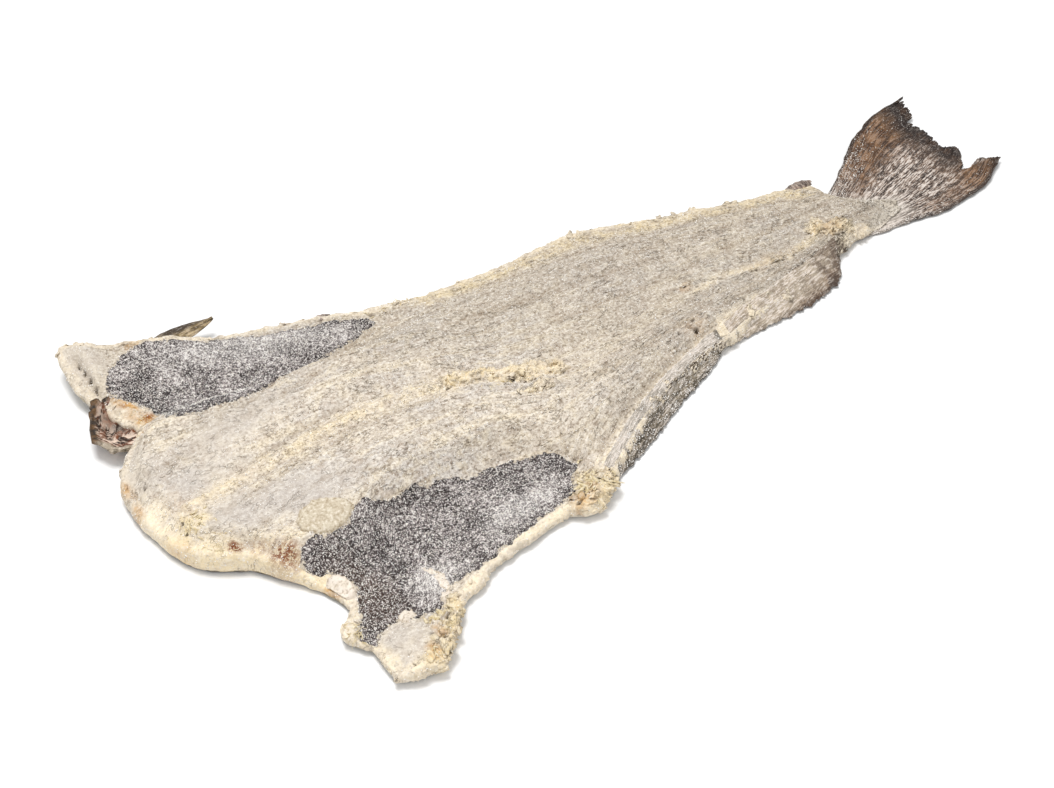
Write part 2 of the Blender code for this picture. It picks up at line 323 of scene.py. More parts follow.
# The edges of the cut face; the flesh's rounded side stands out a little past them.
NEAR_EDGE = SmoothCurve((
    (0.0725, -0.16), (0.084, -0.164), (0.096, -0.162), (0.106, -0.155), (0.115, -0.146), (0.123, -0.135),
    (0.143, -0.125), (0.159, -0.117), (0.191, -0.111), (0.214, -0.106), (0.231, -0.112), (0.244, -0.107),
    (0.259, -0.093), (0.297, -0.069), (0.337, -0.05), (0.377, -0.037), (0.395, -0.033), (0.41, -0.028),
    (0.458, -0.016), (0.499, -0.005), (0.523, 0.002), (0.54, 0.008), (0.564, 0.006), (0.596, 0.003),
    (0.62, 0.001), (0.661, 0.006), (0.7, 0.026)))
FAR_EDGE = SmoothCurve((
    (0.018, 0.181), (0.03, 0.171), (0.052, 0.163), (0.077, 0.156), (0.094, 0.147), (0.119, 0.137),
    (0.151, 0.13), (0.184, 0.121), (0.208, 0.114), (0.249, 0.108), (0.282, 0.107), (0.331, 0.109),
    (0.363, 0.112), (0.412, 0.1), (0.453, 0.09), (0.493, 0.079), (0.526, 0.075), (0.548, 0.07),
    (0.56, 0.061), (0.575, 0.07), (0.599, 0.087), (0.632, 0.108), (0.66, 0.118), (0.688, 0.12)))
MIDDLE = SmoothCurve((
    (0, 0), (0.034, 0.006), (0.064, 0.01), (0.105, 0.015), (0.16, 0.021), (0.196, 0.018),
    (0.222, 0.011), (0.248, -0.002), (0.275, -0.004), (0.35, 0.003), (0.452, 0.011), (0.54, 0.022),
    (0.6, 0.037), (0.69, 0.07)))
HEAD_CUT = SmoothCurve((
    (-0.164, 0.0725), (-0.153, 0.0715), (-0.14, 0.071), (-0.131, 0.064), (-0.124, 0.061), (-0.118, 0.064),
    (-0.113, 0.07), (-0.106, 0.075), (-0.097, 0.073), (-0.073, 0.06), (-0.049, 0.0415), (-0.032, 0.021),
    (-0.016, 0.011), (0.012, 0.005), (0.026, 0.003), (0.045, 0.003), (0.066, 0.012), (0.078, 0.021),
    (0.098, 0.034), (0.118, 0.024), (0.15, 0.013), (0.175, 0.013), (0.184, 0.017)))
TAIL_END = SmoothCurve((
    (0.026, 0.7), (0.031, 0.696), (0.04, 0.689), (0.043, 0.674), (0.046, 0.673), (0.052, 0.681),
    (0.059, 0.686), (0.064, 0.683), (0.068, 0.677), (0.079, 0.679), (0.09, 0.681), (0.1, 0.679),
    (0.104, 0.685), (0.117, 0.684), (0.12, 0.687)))
# How far each anal fin stands out past the near edge.
FIRST_ANAL_REACH = SmoothCurve((
    (0.256, 0.004), (0.285, 0.011), (0.31, 0.013), (0.345, 0.011), (0.372, 0.008), (0.388, 0.002)))
SECOND_ANAL_REACH = SmoothCurve((
    (0.396, 0.003), (0.42, 0.008), (0.45, 0.014), (0.475, 0.018), (0.495, 0.018), (0.503, 0.016),
    (0.513, 0.008), (0.519, 0.002)))
# The flesh runs out over the root of the tail fin as a rounded tongue.
NEAR_TONGUE = SmoothCurve((
    (0.54, 0.008), (0.552, 0.008), (0.565, 0.01), (0.577, 0.013), (0.587, 0.016), (FLESH_END, 0.021)))
FAR_TONGUE = SmoothCurve((
    (0.548, 0.07), (0.553, 0.059), (0.561, 0.05), (0.571, 0.043), (0.581, 0.037), (0.589, 0.031),
    (FLESH_END, 0.026)))
TONGUE_MIDDLE = SmoothCurve((
    (0.54, 0.022), (0.553, 0.0245), (0.565, 0.0262), (0.577, 0.0258), (FLESH_END, 0.0236)))
TONGUE_START = 0.548

LOIN_HEIGHT = SmoothCurve((
    (0, 0.019), (0.04, 0.024), (0.11, 0.027), (0.2, 0.026), (0.3, 0.022), (0.4, 0.018), (0.5, 0.014),
    (0.56, 0.012), (0.6, 0.007), (0.63, 0.0028), (0.7, 0.0018)))
EDGE_THICKNESS = {
    Side.NEAR: SmoothCurve((
        (0, 0.01), (0.1, 0.008), (0.2, 0.007), (0.3, 0.009), (0.45, 0.009), (0.56, 0.007), (0.6, 0.004),
        (0.63, 0.0022), (0.7, 0.0016))),
    Side.FAR: SmoothCurve((
        (0, 0.009), (0.1, 0.007), (0.2, 0.007), (0.3, 0.009), (0.45, 0.009), (0.56, 0.007), (0.6, 0.004),
        (0.63, 0.0022), (0.7, 0.0016))),
}
EDGE_LIFT = {
    Side.NEAR: SmoothCurve((
        (0, 0.003), (0.15, 0.001), (0.3, 0.001), (0.56, 0.001), (0.66, 0.002), (0.7, 0.004))),
    Side.FAR: SmoothCurve((
        (0, 0.014), (0.06, 0.012), (0.1, 0.01), (0.15, 0.009), (0.2, 0.007), (0.3, 0.004), (0.4, 0.003),
        (0.56, 0.002), (0.62, 0.005), (0.7, 0.013))),
}
SHOULDER = {
    Side.NEAR: SmoothCurve(((0, 0.34), (0.22, 0.36), (0.29, 0.55), (0.6, 0.6))),
    Side.FAR: SmoothCurve(((0, 0.42), (0.18, 0.46), (0.26, 0.58), (0.6, 0.6))),
}
SHOULDER_FOOT = {
    Side.NEAR: SmoothCurve(((0, 0.54), (0.21, 0.58), (0.29, 0.98), (0.7, 1))),
    Side.FAR: SmoothCurve(((0, 0.6), (0.16, 0.66), (0.26, 0.98), (0.7, 1))),
}
CHANNEL_DEPTH = SmoothCurve((
    (0, 0), (0.05, 0.004), (0.15, 0.006), (0.25, 0.005), (0.4, 0.003), (0.54, 0.002), (0.6, 0)))
DEEPEST_CHANNEL = 0.006
CHANNEL_WIDTH = 0.011
RIDGE_HEIGHT = 0.0035
RIDGE_WIDTH = 0.004
LIFT_START = 0.4
NECK_ROUNDING = 0.016
CREST = 0.0276            # above this height the relief is pressed flat
PEAK = 0.0291             # nothing scattered stands higher than this
SWELLINGS = (
    (0.09, -0.148, 0.014, 0.014, 0.006),    # thick end of the near wing
    (0.066, -0.118, 0.007, 0.006, 0.004),    # spur of the near wing
    (0.236, -0.102, 0.015, 0.012, 0.007),    # torn flesh at the rear of the near flap
    (0.026, 0.16, 0.009, 0.024, 0.005),     # rolled rim of the far wing
    (0.024, -0.026, 0.016, 0.026, 0.004),    # rolled rim of the neck, near side
    (0.032, 0.088, 0.01, 0.012, 0.004),     # flesh beside the collar
    (0.248, -0.001, 0.026, 0.012, 0.0035),   # knotted flesh at the end of the groove
    (0.536, 0.021, 0.015, 0.007, 0.002),     # knots at the tail end of the groove
    (0.112, 0.056, 0.05, 0.014, 0.002),     # crest of the far loin
    (0.13, -0.02, 0.06, 0.016, 0.002),    # crest of the near loin
    (0.06, 0.012, 0.018, 0.012, -0.003),    # hollow behind the neck
)


def side_value(curves: dict[Side, SmoothCurve], x: Number, across: Number) -> Array:
    """Read the curve of the side that each place is on; columns are negative on the near side."""
    return np.where(np.asarray(across) < 0, curves[Side.NEAR].at(x), curves[Side.FAR].at(x))


def half_width(x: Array, near: Array) -> Array:
    """Measure from the fish's middle line to its edge.

    Args:
        x: Places along.
        near: Whether the near edge is meant, and not the far one.

    Returns:
        The distance in metres.
    """
    middle = MIDDLE.at(x)
    return np.where(near, middle - NEAR_EDGE.at(x), FAR_EDGE.at(x) - middle)


class Fillet:
    """The opened fish as a surface, read at a row and a column."""

    def __init__(self) -> None:
        """Lay the plan onto the frame."""
        low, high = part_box(NODE)
        size = high - low
        self.scale = np.array([size[axis] / PLAN_SIZE[axis] for axis in range(3)])
        self.shift = np.array([low[axis] - PLAN_LOW[axis] * self.scale[axis] for axis in range(3)])

    def to_frame(self, points: Array) -> Array:
        """Move plan points into the frame."""
        return points * self.scale + self.shift

    def from_frame(self, points: Array) -> Array:
        """Move the frame's points back onto the plan."""
        return (points - self.shift) / self.scale

    def plan(self, along: Number, across: Number, tongue: bool) -> tuple[Array, Array]:
        """Place rows and columns on the table.

        Args:
            along: 0 at the neck, 1 at the tips of the tail fin.
            across: -1 at the near edge, 1 at the far edge.
            tongue: Whether the flesh's own outline is meant, without the tail fin.

        Returns:
            The places along and across, in metres.
        """
        def cut_at(cut: SmoothCurve, middle: Number) -> Array:
            """Read a cut at the columns, which reach from its first point to its last."""
            half = np.where(across < 0, middle - cut.points[0][0], cut.points[-1][0] - middle)
            return cut.at(middle + across * half)

        straight = along * LENGTH
        head_share = np.clip(1 - straight / HEAD_FADE, 0, 1) ** 1.5
        x = straight + cut_at(HEAD_CUT, MIDDLE.at(0)) * head_share
        if not tongue:
            tail_share = np.clip((straight - TAIL_BASE) / (LENGTH - TAIL_BASE), 0, 1) ** 1.5
            x = x + (cut_at(TAIL_END, MIDDLE.at(LENGTH)) - LENGTH) * tail_share
        near, far, middle = (curve.at(x) for curve in (NEAR_EDGE, FAR_EDGE, MIDDLE))
        if tongue:
            near, far, middle = (
                np.where(x < TONGUE_START, whole, narrow.at(x))
                for whole, narrow in ((near, NEAR_TONGUE), (far, FAR_TONGUE), (middle, TONGUE_MIDDLE)))
        edge = np.where(across < 0, near, far)
        y = middle + np.abs(across) * (edge - middle)
        sway = 0.0016 * ease(0, 0.05, x + 0.02)
        return (x + sway * WAVE.layered(x, y, 0.016, 2),
                y + sway * WAVE.layered(x + 0.7, y + 0.3, 0.014, 2))

    def across_at(self, x: Array, y: Array) -> Array:
        """Say which column a plan place is in, from -1 to 1 and a little past the edges."""
        from_middle = y - MIDDLE.at(x)
        return np.clip(from_middle / np.maximum(half_width(x, from_middle < 0), 1e-4), -1.3, 1.3)

    def skin(self, x: Number, across: Number) -> Array:
        """Height of the skin above the table."""
        lift = side_value(EDGE_LIFT, x, across)
        return lift * ease(LIFT_START, 1, np.abs(across)) ** 1.5

    def thickness(self, x: Array, y: Array, across: Array, from_neck: Array) -> Array:
        """Thickness of the fish, from the skin to the cut flesh, without its fine relief.

        Args:
            x: Places along.
            y: Places across.
            across: Columns of those places.
            from_neck: Distance from the head cut.

        Returns:
            The thickness in metres.
        """
        reach = np.abs(across)
        edge = side_value(EDGE_THICKNESS, x, across)
        loin = LOIN_HEIGHT.at(x)
        shoulder = side_value(SHOULDER, x, across)
        foot = side_value(SHOULDER_FOOT, x, across)
        thick = loin + (edge - loin) * ease(shoulder, foot, reach)
        from_middle = y - MIDDLE.at(x)
        depth = CHANNEL_DEPTH.at(x)
        thick = thick - depth * np.exp(-(from_middle / CHANNEL_WIDTH) ** 2)
        ridge = RIDGE_HEIGHT * depth / DEEPEST_CHANNEL
        thick = thick + ridge * np.exp(-(from_middle / RIDGE_WIDTH) ** 2)
        for place_x, place_y, reach_x, reach_y, height in SWELLINGS:
            spread = ((x - place_x) / reach_x) ** 2 + ((y - place_y) / reach_y) ** 2
            thick = thick + height * np.exp(-spread)
        return thick * (0.62 + 0.38 * ease(0, NECK_ROUNDING, from_neck))


FILLET = Fillet()


# ---- where the flesh changes
class Marks:
    """The named places of the flesh: ridges, creases, knots, holes, stains and cream edges."""

    ridge = Stroke(((0.024, 0.003), (0.05, 0.009), (0.076, 0.012), (0.104, 0.014), (0.134, 0.019),
                    (0.162, 0.021), (0.189, 0.018), (0.21, 0.015), (0.228, 0.009)), 0.006)
    tail_line = Stroke(((0.4, 0.01), (0.426, 0.015), (0.452, 0.011), (0.482, 0.01), (0.5, 0.014),
                        (0.515, 0.019)), 0.0036)
    # Each crease has its depth, its width and its line.
    creases = tuple((Stroke(line, width), depth) for depth, width, line in (
        (0.0014, 0.0026, ((0.014, 0.045), (0.026, 0.041), (0.04, 0.045), (0.06, 0.046),
                          (0.09, 0.052), (0.14, 0.062))),
        (0.001, 0.0028, ((0.045, -0.01), (0.09, -0.003), (0.14, 0.007), (0.195, 0.006))),
        (0.0014, 0.0016, ((0.088, 0.06), (0.099, 0.065), (0.113, 0.069), (0.13, 0.076),
                          (0.16, 0.089), (0.2, 0.098))),
        (0.0011, 0.0018, ((0.29, 0.092), (0.374, 0.087), (0.427, 0.08), (0.465, 0.076),
                          (0.502, 0.068), (0.534, 0.057))),
        (0.0008, 0.0024, ((0.33, 0.072), (0.42, 0.062), (0.52, 0.05))),
        (0.0012, 0.0022, ((0.262, -0.076), (0.3, -0.056), (0.345, -0.038), (0.39, -0.024))),
        (0.0008, 0.002, ((0.4, -0.014), (0.45, -0.004), (0.505, 0.006))),
        (0.0011, 0.0014, ((0.06, 0.066), (0.064, 0.071), (0.068, 0.078))),
        (0.0009, 0.0026, ((0.3, 0.028), (0.38, 0.031), (0.433, 0.035), (0.478, 0.039), (0.54, 0.043))),
        (0.0008, 0.0035, ((0.25, 0.06), (0.33, 0.058), (0.4, 0.05))),
        (0.0012, 0.0012, ((0.524, 0.056), (0.538, 0.05), (0.551, 0.055))),
        (0.0013, 0.0015, ((0.028, -0.022), (0.041, -0.033), (0.053, -0.034), (0.07, -0.029),
                          (0.093, -0.024), (0.106, -0.023), (0.125, -0.029), (0.138, -0.038))),
        (0.0007, 0.003, ((0.28, -0.03), (0.34, -0.02), (0.4, -0.006))),
        (0.003, 0.0018, ((0.02, 0.164), (0.021, 0.151), (0.021, 0.142), (0.022, 0.132))),
        (0.0012, 0.0011, ((0.063, 0.0155), (0.079, 0.019), (0.1, 0.022), (0.124, 0.028),
                          (0.146, 0.03))),
        (0.001, 0.0011, ((0.062, 0.003), (0.089, 0.006), (0.118, 0.01), (0.15, 0.013))),
        (0.002, 0.0012, ((0.232, -0.059), (0.239, -0.066), (0.245, -0.073), (0.249, -0.084),
                         (0.251, -0.094))),
        (0.002, 0.0012, ((0.004, 0.045), (0.0055, 0.037), (0.007, 0.029))),
        (0.001, 0.001, ((0.074, 0.061), (0.071, 0.055), (0.07, 0.048))),
        (0.001, 0.001, ((0.025, 0.04), (0.034, 0.039), (0.045, 0.039))),
    ))
    far_band = Stroke(((0.245, 0.102), (0.276, 0.1), (0.319, 0.102), (0.354, 0.104), (0.414, 0.093),
                       (0.476, 0.079), (0.533, 0.069), (0.547, 0.065)), 0.007)
    near_band = Stroke(((0.262, -0.088), (0.3, -0.066), (0.345, -0.044), (0.4, -0.026),
                        (0.432, -0.018)), 0.006)
    knots = (
        Patch(0.213, 0.014, 0.009, 0.004, -10),
        Patch(0.226, 0.009, 0.01, 0.006, -25),
        Patch(0.238, 0.002, 0.01, 0.006, -25),
        Patch(0.25, -0.005, 0.009, 0.006, -15),
        Patch(0.262, -0.005, 0.009, 0.007, 0),
        Patch(0.273, -0.01, 0.007, 0.005, 0),
        Patch(0.254, -0.021, 0.01, 0.003, 0, 0.5),
        Patch(0.517, 0.025, 0.008, 0.006, 20),
        Patch(0.526, 0.018, 0.009, 0.006, 0),
        Patch(0.535, 0.016, 0.006, 0.006, 10),
    )
    neck_rim = Stroke(((0.03, 0.068), (0.016, 0.058), (0.006, 0.045), (0.003, 0.028), (0.005, 0.002),
                       (0.01, -0.018), (0.02, -0.033), (0.038, -0.046), (0.056, -0.06),
                       (0.068, -0.078)), 0.0115)
    neck_folds = (
        Stroke(((0.02, 0.052), (0.014, 0.036), (0.017, 0.014), (0.022, 0.004)), 0.0018),
        Stroke(((0.004, 0.042), (0.0055, 0.036), (0.005, 0.03)), 0.0011),
        Stroke(((0.03, -0.024), (0.046, -0.04), (0.06, -0.052)), 0.002),
        Stroke(((0.033, 0.07), (0.04, 0.064), (0.046, 0.06)), 0.0013),
    )
    # A tuft of short strands over small pits.
    tufted = Patch(0.022, -0.008, 0.01, 0.01, -40, 0.5)
    near_wing = Patch(0.085, -0.151, 0.018, 0.02, 0, 0.4)
    far_wing = Stroke(((0.018, 0.182), (0.016, 0.165), (0.021, 0.145), (0.027, 0.126)), 0.011)
    far_rim = Stroke(((0.02, 0.182), (0.042, 0.172), (0.066, 0.164), (0.082, 0.154)), 0.007)
    frill = Stroke(((0.122, -0.128), (0.12, -0.14), (0.111, -0.149), (0.104, -0.156),
                    (0.093, -0.161)), 0.007)
    torn = Patch(0.239, -0.1, 0.017, 0.017, 0, 0.4)
    olive = Patch(0.531, 0.066, 0.014, 0.006, -25, 0.6)
    plates = (
        Patch(0.044, 0.022, 0.026, 0.015, 10, 0.6),
        Patch(0.046, -0.016, 0.02, 0.018, -30, 0.6),
        Patch(0.084, -0.024, 0.034, 0.016, -10, 0.6),
        Patch(0.074, 0.048, 0.04, 0.014, 10, 0.6),
        Patch(0.014, 0.05, 0.014, 0.018, 0, 0.6),
        Patch(0.085, -0.148, 0.016, 0.018, 0, 0.5),
        Patch(0.022, 0.16, 0.014, 0.026, 0, 0.6),
    )
    ashen = Patch(0.078, 0.062, 0.03, 0.009, 12, 0.7)
    # Small deep holes: x, y, reach along, reach across, turn in degrees.
    holes = (
        (0.012, 0.037, 0.0012, 0.0009, 0), (0.235, 0.01, 0.0013, 0.001, 0),
        (0.227, -0.004, 0.0013, 0.0012, 30), (0.243, -0.006, 0.0014, 0.0011, 0),
        (0.259, -0.014, 0.002, 0.0012, -20), (0.272, -0.007, 0.0018, 0.0012, -40),
        (0.274, -0.015, 0.0016, 0.0012, 0), (0.257, -0.022, 0.0022, 0.0011, 0),
        (0.45, 0.008, 0.0011, 0.0009, 0), (0.47, 0.008, 0.006, 0.0006, -4),
        (0.484, 0.008, 0.0013, 0.001, 0), (0.395, 0.017, 0.0012, 0.0009, 0),
        (0.018, -0.004, 0.001, 0.0008, 0), (0.021, -0.009, 0.001, 0.0007, 40),
        (0.024, -0.015, 0.001, 0.0007, 60), (0.027, -0.01, 0.0008, 0.0006, 30),
        (0.017, -0.012, 0.0008, 0.0006, 0), (0.021, 0.001, 0.001, 0.0006, 20),
        (0.533, 0.022, 0.0018, 0.0013, 30), (0.525, 0.015, 0.0016, 0.0015, 0),
        (0.529, 0.024, 0.0012, 0.001, 40), (0.374, -0.024, 0.0022, 0.0015, 30),
        (0.377, -0.016, 0.0016, 0.0011, 20), (0.361, -0.022, 0.0012, 0.001, 0),
        (0.114, -0.142, 0.002, 0.0013, 80), (0.105, -0.153, 0.0018, 0.0012, 60),
        (0.238, -0.094, 0.0024, 0.0015, -30), (0.25, -0.103, 0.0016, 0.002, 0),
        (0.229, -0.106, 0.002, 0.0012, 50), (0.205, 0.01, 0.0012, 0.0008, 0),
        (0.245, -0.111, 0.0014, 0.0012, 0), (0.118, -0.134, 0.0012, 0.001, 0),
        (0.231, -0.104, 0.0022, 0.001, 60), (0.224, -0.108, 0.0016, 0.001, 0),
        (0.249, -0.09, 0.0026, 0.0012, 80), (0.1, -0.148, 0.0014, 0.001, 30),
        (0.0205, 0.159, 0.0024, 0.001, 90), (0.0212, 0.152, 0.0018, 0.0009, 80),
        (0.0216, 0.144, 0.0022, 0.001, 95), (0.0222, 0.137, 0.0016, 0.0008, 85),
        (0.109, -0.1365, 0.0018, 0.0008, 90), (0.104, -0.1375, 0.0016, 0.0008, 90))
    # Stains: x, y, reach along, reach across, turn in degrees, softness and strength.
    ochre = tuple((Patch(*place), strength) for *place, strength in (
        (0.033, 0.118, 0.0085, 0.0035, -55, 0.6, 0.95), (0.039, 0.099, 0.006, 0.005, 0, 0.6, 0.95),
        (0.035, 0.108, 0.005, 0.005, 0, 0.7, 0.45), (0.033, 0.084, 0.004, 0.003, 0, 0.7, 0.6),
        (0.003, 0.046, 0.003, 0.008, 10, 0.7, 0.55), (0.002, 0.026, 0.003, 0.005, 0, 0.7, 0.6),
        (0.01, -0.014, 0.004, 0.009, 30, 0.8, 0.28), (0.07, -0.086, 0.0055, 0.0025, -60, 0.6, 0.85),
        (0.105, -0.147, 0.003, 0.006, 0, 0.7, 0.5), (0.095, -0.158, 0.0035, 0.0045, 0, 0.7, 0.55),
        (0.226, -0.107, 0.006, 0.005, 0, 0.7, 0.6), (0.236, -0.104, 0.004, 0.005, 0, 0.7, 0.4),
        (0.376, -0.02, 0.01, 0.007, 20, 0.7, 0.2), (0.395, 0.016, 0.005, 0.003, 20, 0.7, 0.3),
        (0.466, 0.012, 0.02, 0.005, 0, 0.7, 0.1), (0.526, 0.02, 0.009, 0.006, 0, 0.7, 0.25),
        (0.022, 0.01, 0.006, 0.01, 0, 0.7, 0.12), (0.057, 0.159, 0.005, 0.003, 0, 0.7, 0.45)))
    russet = tuple((Patch(*place), strength) for *place, strength in (
        (0.041, 0.1, 0.003, 0.0042, -20, 0.5, 0.95), (0.032, 0.117, 0.003, 0.0014, -55, 0.5, 0.4),
        (0.036, -0.036, 0.0048, 0.0022, -35, 0.5, 1), (0.047, -0.044, 0.008, 0.003, -42, 0.8, 0.5),
        (0.057, -0.057, 0.0095, 0.0055, -45, 0.7, 0.95), (0.072, -0.089, 0.002, 0.0016, 0, 0.6, 0.6),
        (0.005, 0.047, 0.0014, 0.002, 0, 0.6, 0.45)))

    @classmethod
    def darkened(cls, x: Array, y: Array) -> Array:
        """Say how much darker the flesh is: on the far side, where the darkening is painted shade of the side
        turned from the light, and towards the tail and beside the groove.

        Args:
            x: Places along.
            y: Places across.

        Returns:
            0 beside the neck, and up to 1 where it is darkest.
        """
        beside = 0.9 * cls.ashen.at(x, y, warped(x, y))
        # Painted shade: the far side is darkened as though it faced away from the light.
        far = ease(-0.03, 0.03, y + 0.45 * (x - 0.3))
        return np.maximum(np.maximum(far, 0.75 * ease(0.26, 0.34, x)), beside)

    @classmethod
    def creased(cls, x: Array, y: Array) -> list[tuple[Array, float]]:
        """Say how near the creases places are.

        Args:
            x: Places along.
            y: Places across.

        Returns:
            For each crease, 1 on its line falling to 0 beside it, and the crease's depth.
        """
        sway = 0.0008 * WAVE.smooth(x, y, 0.006)
        return [(crease.at(x, y, sway), depth) for crease, depth in cls.creases]


def warped(x: Array, y: Array, amount: float = FRAY, size: float = 0.008) -> Array:
    """Read the fray that patch borders share."""
    return amount * WAVE.layered(x + 1.3, y - 0.8, size, 3)


def hole_depth(x: Array, y: Array) -> Array:
    """Say how deep inside one of the small holes each place is, from 0 to 1."""
    fray = warped(x, y, 0.35, 0.0016)
    return strongest([Patch(*hole, 0.45) for hole in Marks.holes], x, y, fray)


def strongest(areas: Sequence[Union[Patch, Stroke]], x: Array, y: Array, fray: Number) -> Array:
    """Join several areas into one mask."""
    return np.maximum.reduce([area.at(x, y, fray) for area in areas])


def edge_nearness(x: Array, y: Array, width: float) -> Array:
    """Say how near the fish's cut edge places are.

    Args:
        x: Places along.
        y: Places across.
        width: How far the edge reaches inwards.

    Returns:
        1 at the edge and 0 beyond the width.
    """
    from_middle = y - MIDDLE.at(x)
    half = half_width(x, from_middle < 0)
    from_side = (1 - np.abs(from_middle) / np.maximum(half, 1e-4)) * half
    from_cut = (x - HEAD_CUT.at(y)) * 0.8
    away = np.minimum(from_side, np.maximum(from_cut, 0))
    return 1 - ease(0.35 * width, width, away + 0.3 * width * WAVE.layered(x, y, 0.012, 3))


def relief(x: Array, y: Array, across: Array) -> Array:
    """Work out the fine relief of the cut flesh.

    Args:
        x: Places along.
        y: Places across.
        across: Columns of those places.

    Returns:
        Height above the plain surface, in metres.
    """
    lateral = across * COLUMN_WIDTH
    fray = warped(x, y)
    push = STROKE_FRAY * fray / FRAY
    neck = Marks.neck_rim.at(x, y, push)
    doughy = np.maximum(neck, 0.8 * strongest((Marks.far_wing, Marks.far_rim), x, y, push))
    swell = 0.0013 * WAVE.layered(x, y, 0.04, 2)
    folds = 0.001 * FOLDS.layered(x * 0.12, lateral, 0.01, 3)
    fibres = 0.00032 * (1 - 2 * np.abs(FOLDS.smooth(x * 0.14 + 3, lateral, 0.0052)))
    crumbs = 0.00055 * CRUMB.layered(x, y, 0.0065, 3, 0.6)
    grains = 0.00032 * (0.6 - CRUMB.cells(x, y, 0.0034))
    bend = (x - 0.55 * np.abs(y - MIDDLE.at(x))) / 0.0125
    flakes = 0.00018 * np.sin(2 * math.pi * (bend + 0.25 * WAVE.smooth(x, y, 0.02)))
    calm = (1 - 0.6 * strongest(Marks.plates, x, y, fray)) * (1 - 0.75 * doughy)
    total = swell + folds * (1 - 0.6 * doughy) + (fibres + crumbs + grains + flakes) * calm
    total = total + 0.0012 * Marks.ridge.at(x, y, 0.6 * push)
    total = total + 0.0005 * Marks.tail_line.at(x, y, 0.5 * push)
    lumps = FOLDS.cells(x, y, 0.0058)
    total = total + strongest(Marks.knots, x, y, fray) * 0.0028 * (0.62 - lumps)
    rough = np.maximum(Marks.torn.at(x, y, fray), Marks.frill.at(x, y))
    strips = FOLDS.layered(x * 1.2 + y * 0.8, y * 0.35, 0.0042, 2)
    total = total + rough * (0.002 * strips + 0.0012 * (0.6 - lumps))
    rim = edge_nearness(x, y, 0.009) * (1 - 0.75 * doughy)
    total = total + rim * (0.0006 + 0.0009 * FOLDS.layered(x, y, 0.007, 3, 0.6))
    total = total + doughy * (0.0012 + 0.0016 * FOLDS.layered(x, y, 0.016, 2, 0.4))
    tufts = np.abs(FOLDS.layered(x * 0.6 + y * 0.8, y * 2 - x, 0.0034, 2))
    total = total + 0.0012 * Marks.tufted.at(x, y, fray) * (0.5 - 2 * tufts)
    for fold in Marks.neck_folds:
        total = total - 0.0012 * fold.at(x, y, 0.25 * push)
    total = total + 0.001 * Marks.far_rim.at(x, y, push)
    for nearness, depth in Marks.creased(x, y):
        total = total - depth * nearness
    total = total + 0.0009 * Marks.near_band.at(x, y) + 0.0005 * Marks.far_band.at(x, y)
    return total - 0.0022 * hole_depth(x, y)


def flesh_surface(along: Array, across: Array) -> tuple[Array, Array]:
    """Place the cut flesh and the skin side of the flesh.

    Args:
        along: Rows, 0 at the neck and 1 at the end of the flesh's tongue.
        across: Columns, -1 at the near edge and 1 at the far edge.

    Returns:
        Points of the cut face and points of the underside, on the plan.
    """
    rows = along * FLESH_END / LENGTH
    x, y = FILLET.plan(rows, across, tongue=True)
    skin = FILLET.skin(x, across) + SKIN
    thick = FILLET.thickness(x, y, across, rows * LENGTH) - SKIN
    taper = 1 - 0.96 * ease(0.558, FLESH_END - 0.002, x)
    beside = 1 - ease(-0.001, 0.009, tongue_inset(x, y))
    taper = np.minimum(taper, 1 - 0.92 * beside * ease(0.55, 0.562, x))
    top = skin + thick * taper + relief(x, y, across) * (0.4 + 0.6 * taper) - 0.0004
    thin = 0.001 + 0.0012 * CRUMB.layered(x, y, 0.007, 3, 0.6) * ease(0.55, 0.56, x)
    top = np.maximum(top, skin + np.clip(thin, 0.0003, 0.0022))
    over = np.maximum(top - CREST, 0)
    top = top - over + 0.001 * (1 - np.exp(-over / 0.001))
    return np.stack([x, y, top], axis=-1), np.stack([x, y, skin], axis=-1)


# ---- mesh helpers
def deselect_all() -> None:
    """Leave edit mode and deselect every object."""
    if bpy.context.object and bpy.context.object.mode != "OBJECT":
        bpy.ops.object.mode_set(mode="OBJECT")
    bpy.ops.object.select_all(action="DESELECT")


def make_active(piece: Piece) -> None:
    """Select one object alone and make it the active one."""
    deselect_all()
    piece.select_set(True)
    bpy.context.view_layer.objects.active = piece


def read_points(piece: Piece) -> Array:
    """Read a mesh's points as an array of rows."""
    flat = np.empty(len(piece.data.vertices) * 3)
    piece.data.vertices.foreach_get("co", flat)
    return flat.reshape(-1, 3)


def write_points(piece: Piece, points: Array) -> None:
    """Move a mesh's points."""
    piece.data.vertices.foreach_set("co", np.ascontiguousarray(points, dtype=np.float32).ravel())
    piece.data.update()


def add_grid(name: str, rows: int, columns: int) -> tuple[Piece, Array, Array]:
    """Add a flat grid and say which row and column each of its points is in.

    Args:
        name: Name of the new object.
        rows: Faces along X.
        columns: Faces along Y.

    Returns:
        The object, and each point's row and column number.
    """
    deselect_all()
    bpy.ops.mesh.primitive_grid_add(x_subdivisions=rows, y_subdivisions=columns, size=1)
    piece = bpy.context.object
    piece.name = name
    piece.data.name = name
    points = read_points(piece)
    row = np.rint((points[:, 0] + 0.5) * rows).astype(int)
    column = np.rint((points[:, 1] + 0.5) * columns).astype(int)
    return piece, row, column


def edit(piece: Piece, *steps: tuple[Callable, dict[str, Any]], action: str = "SELECT") -> None:
    """Run editing steps on a mesh.

    Args:
        piece: The mesh object.
        steps: Operators, each with its settings.
        action: Whether all of the mesh is selected first, or none.
    """
    make_active(piece)
    bpy.ops.object.mode_set(mode="EDIT")
    bpy.ops.mesh.select_all(action=action)
    for operator, settings in steps:
        operator(**settings)
    bpy.ops.object.mode_set(mode="OBJECT")


def face_outwards(piece: Piece) -> None:
    """Turn every face of a mesh outwards."""
    edit(piece, (bpy.ops.mesh.normals_make_consistent, {"inside": False}))


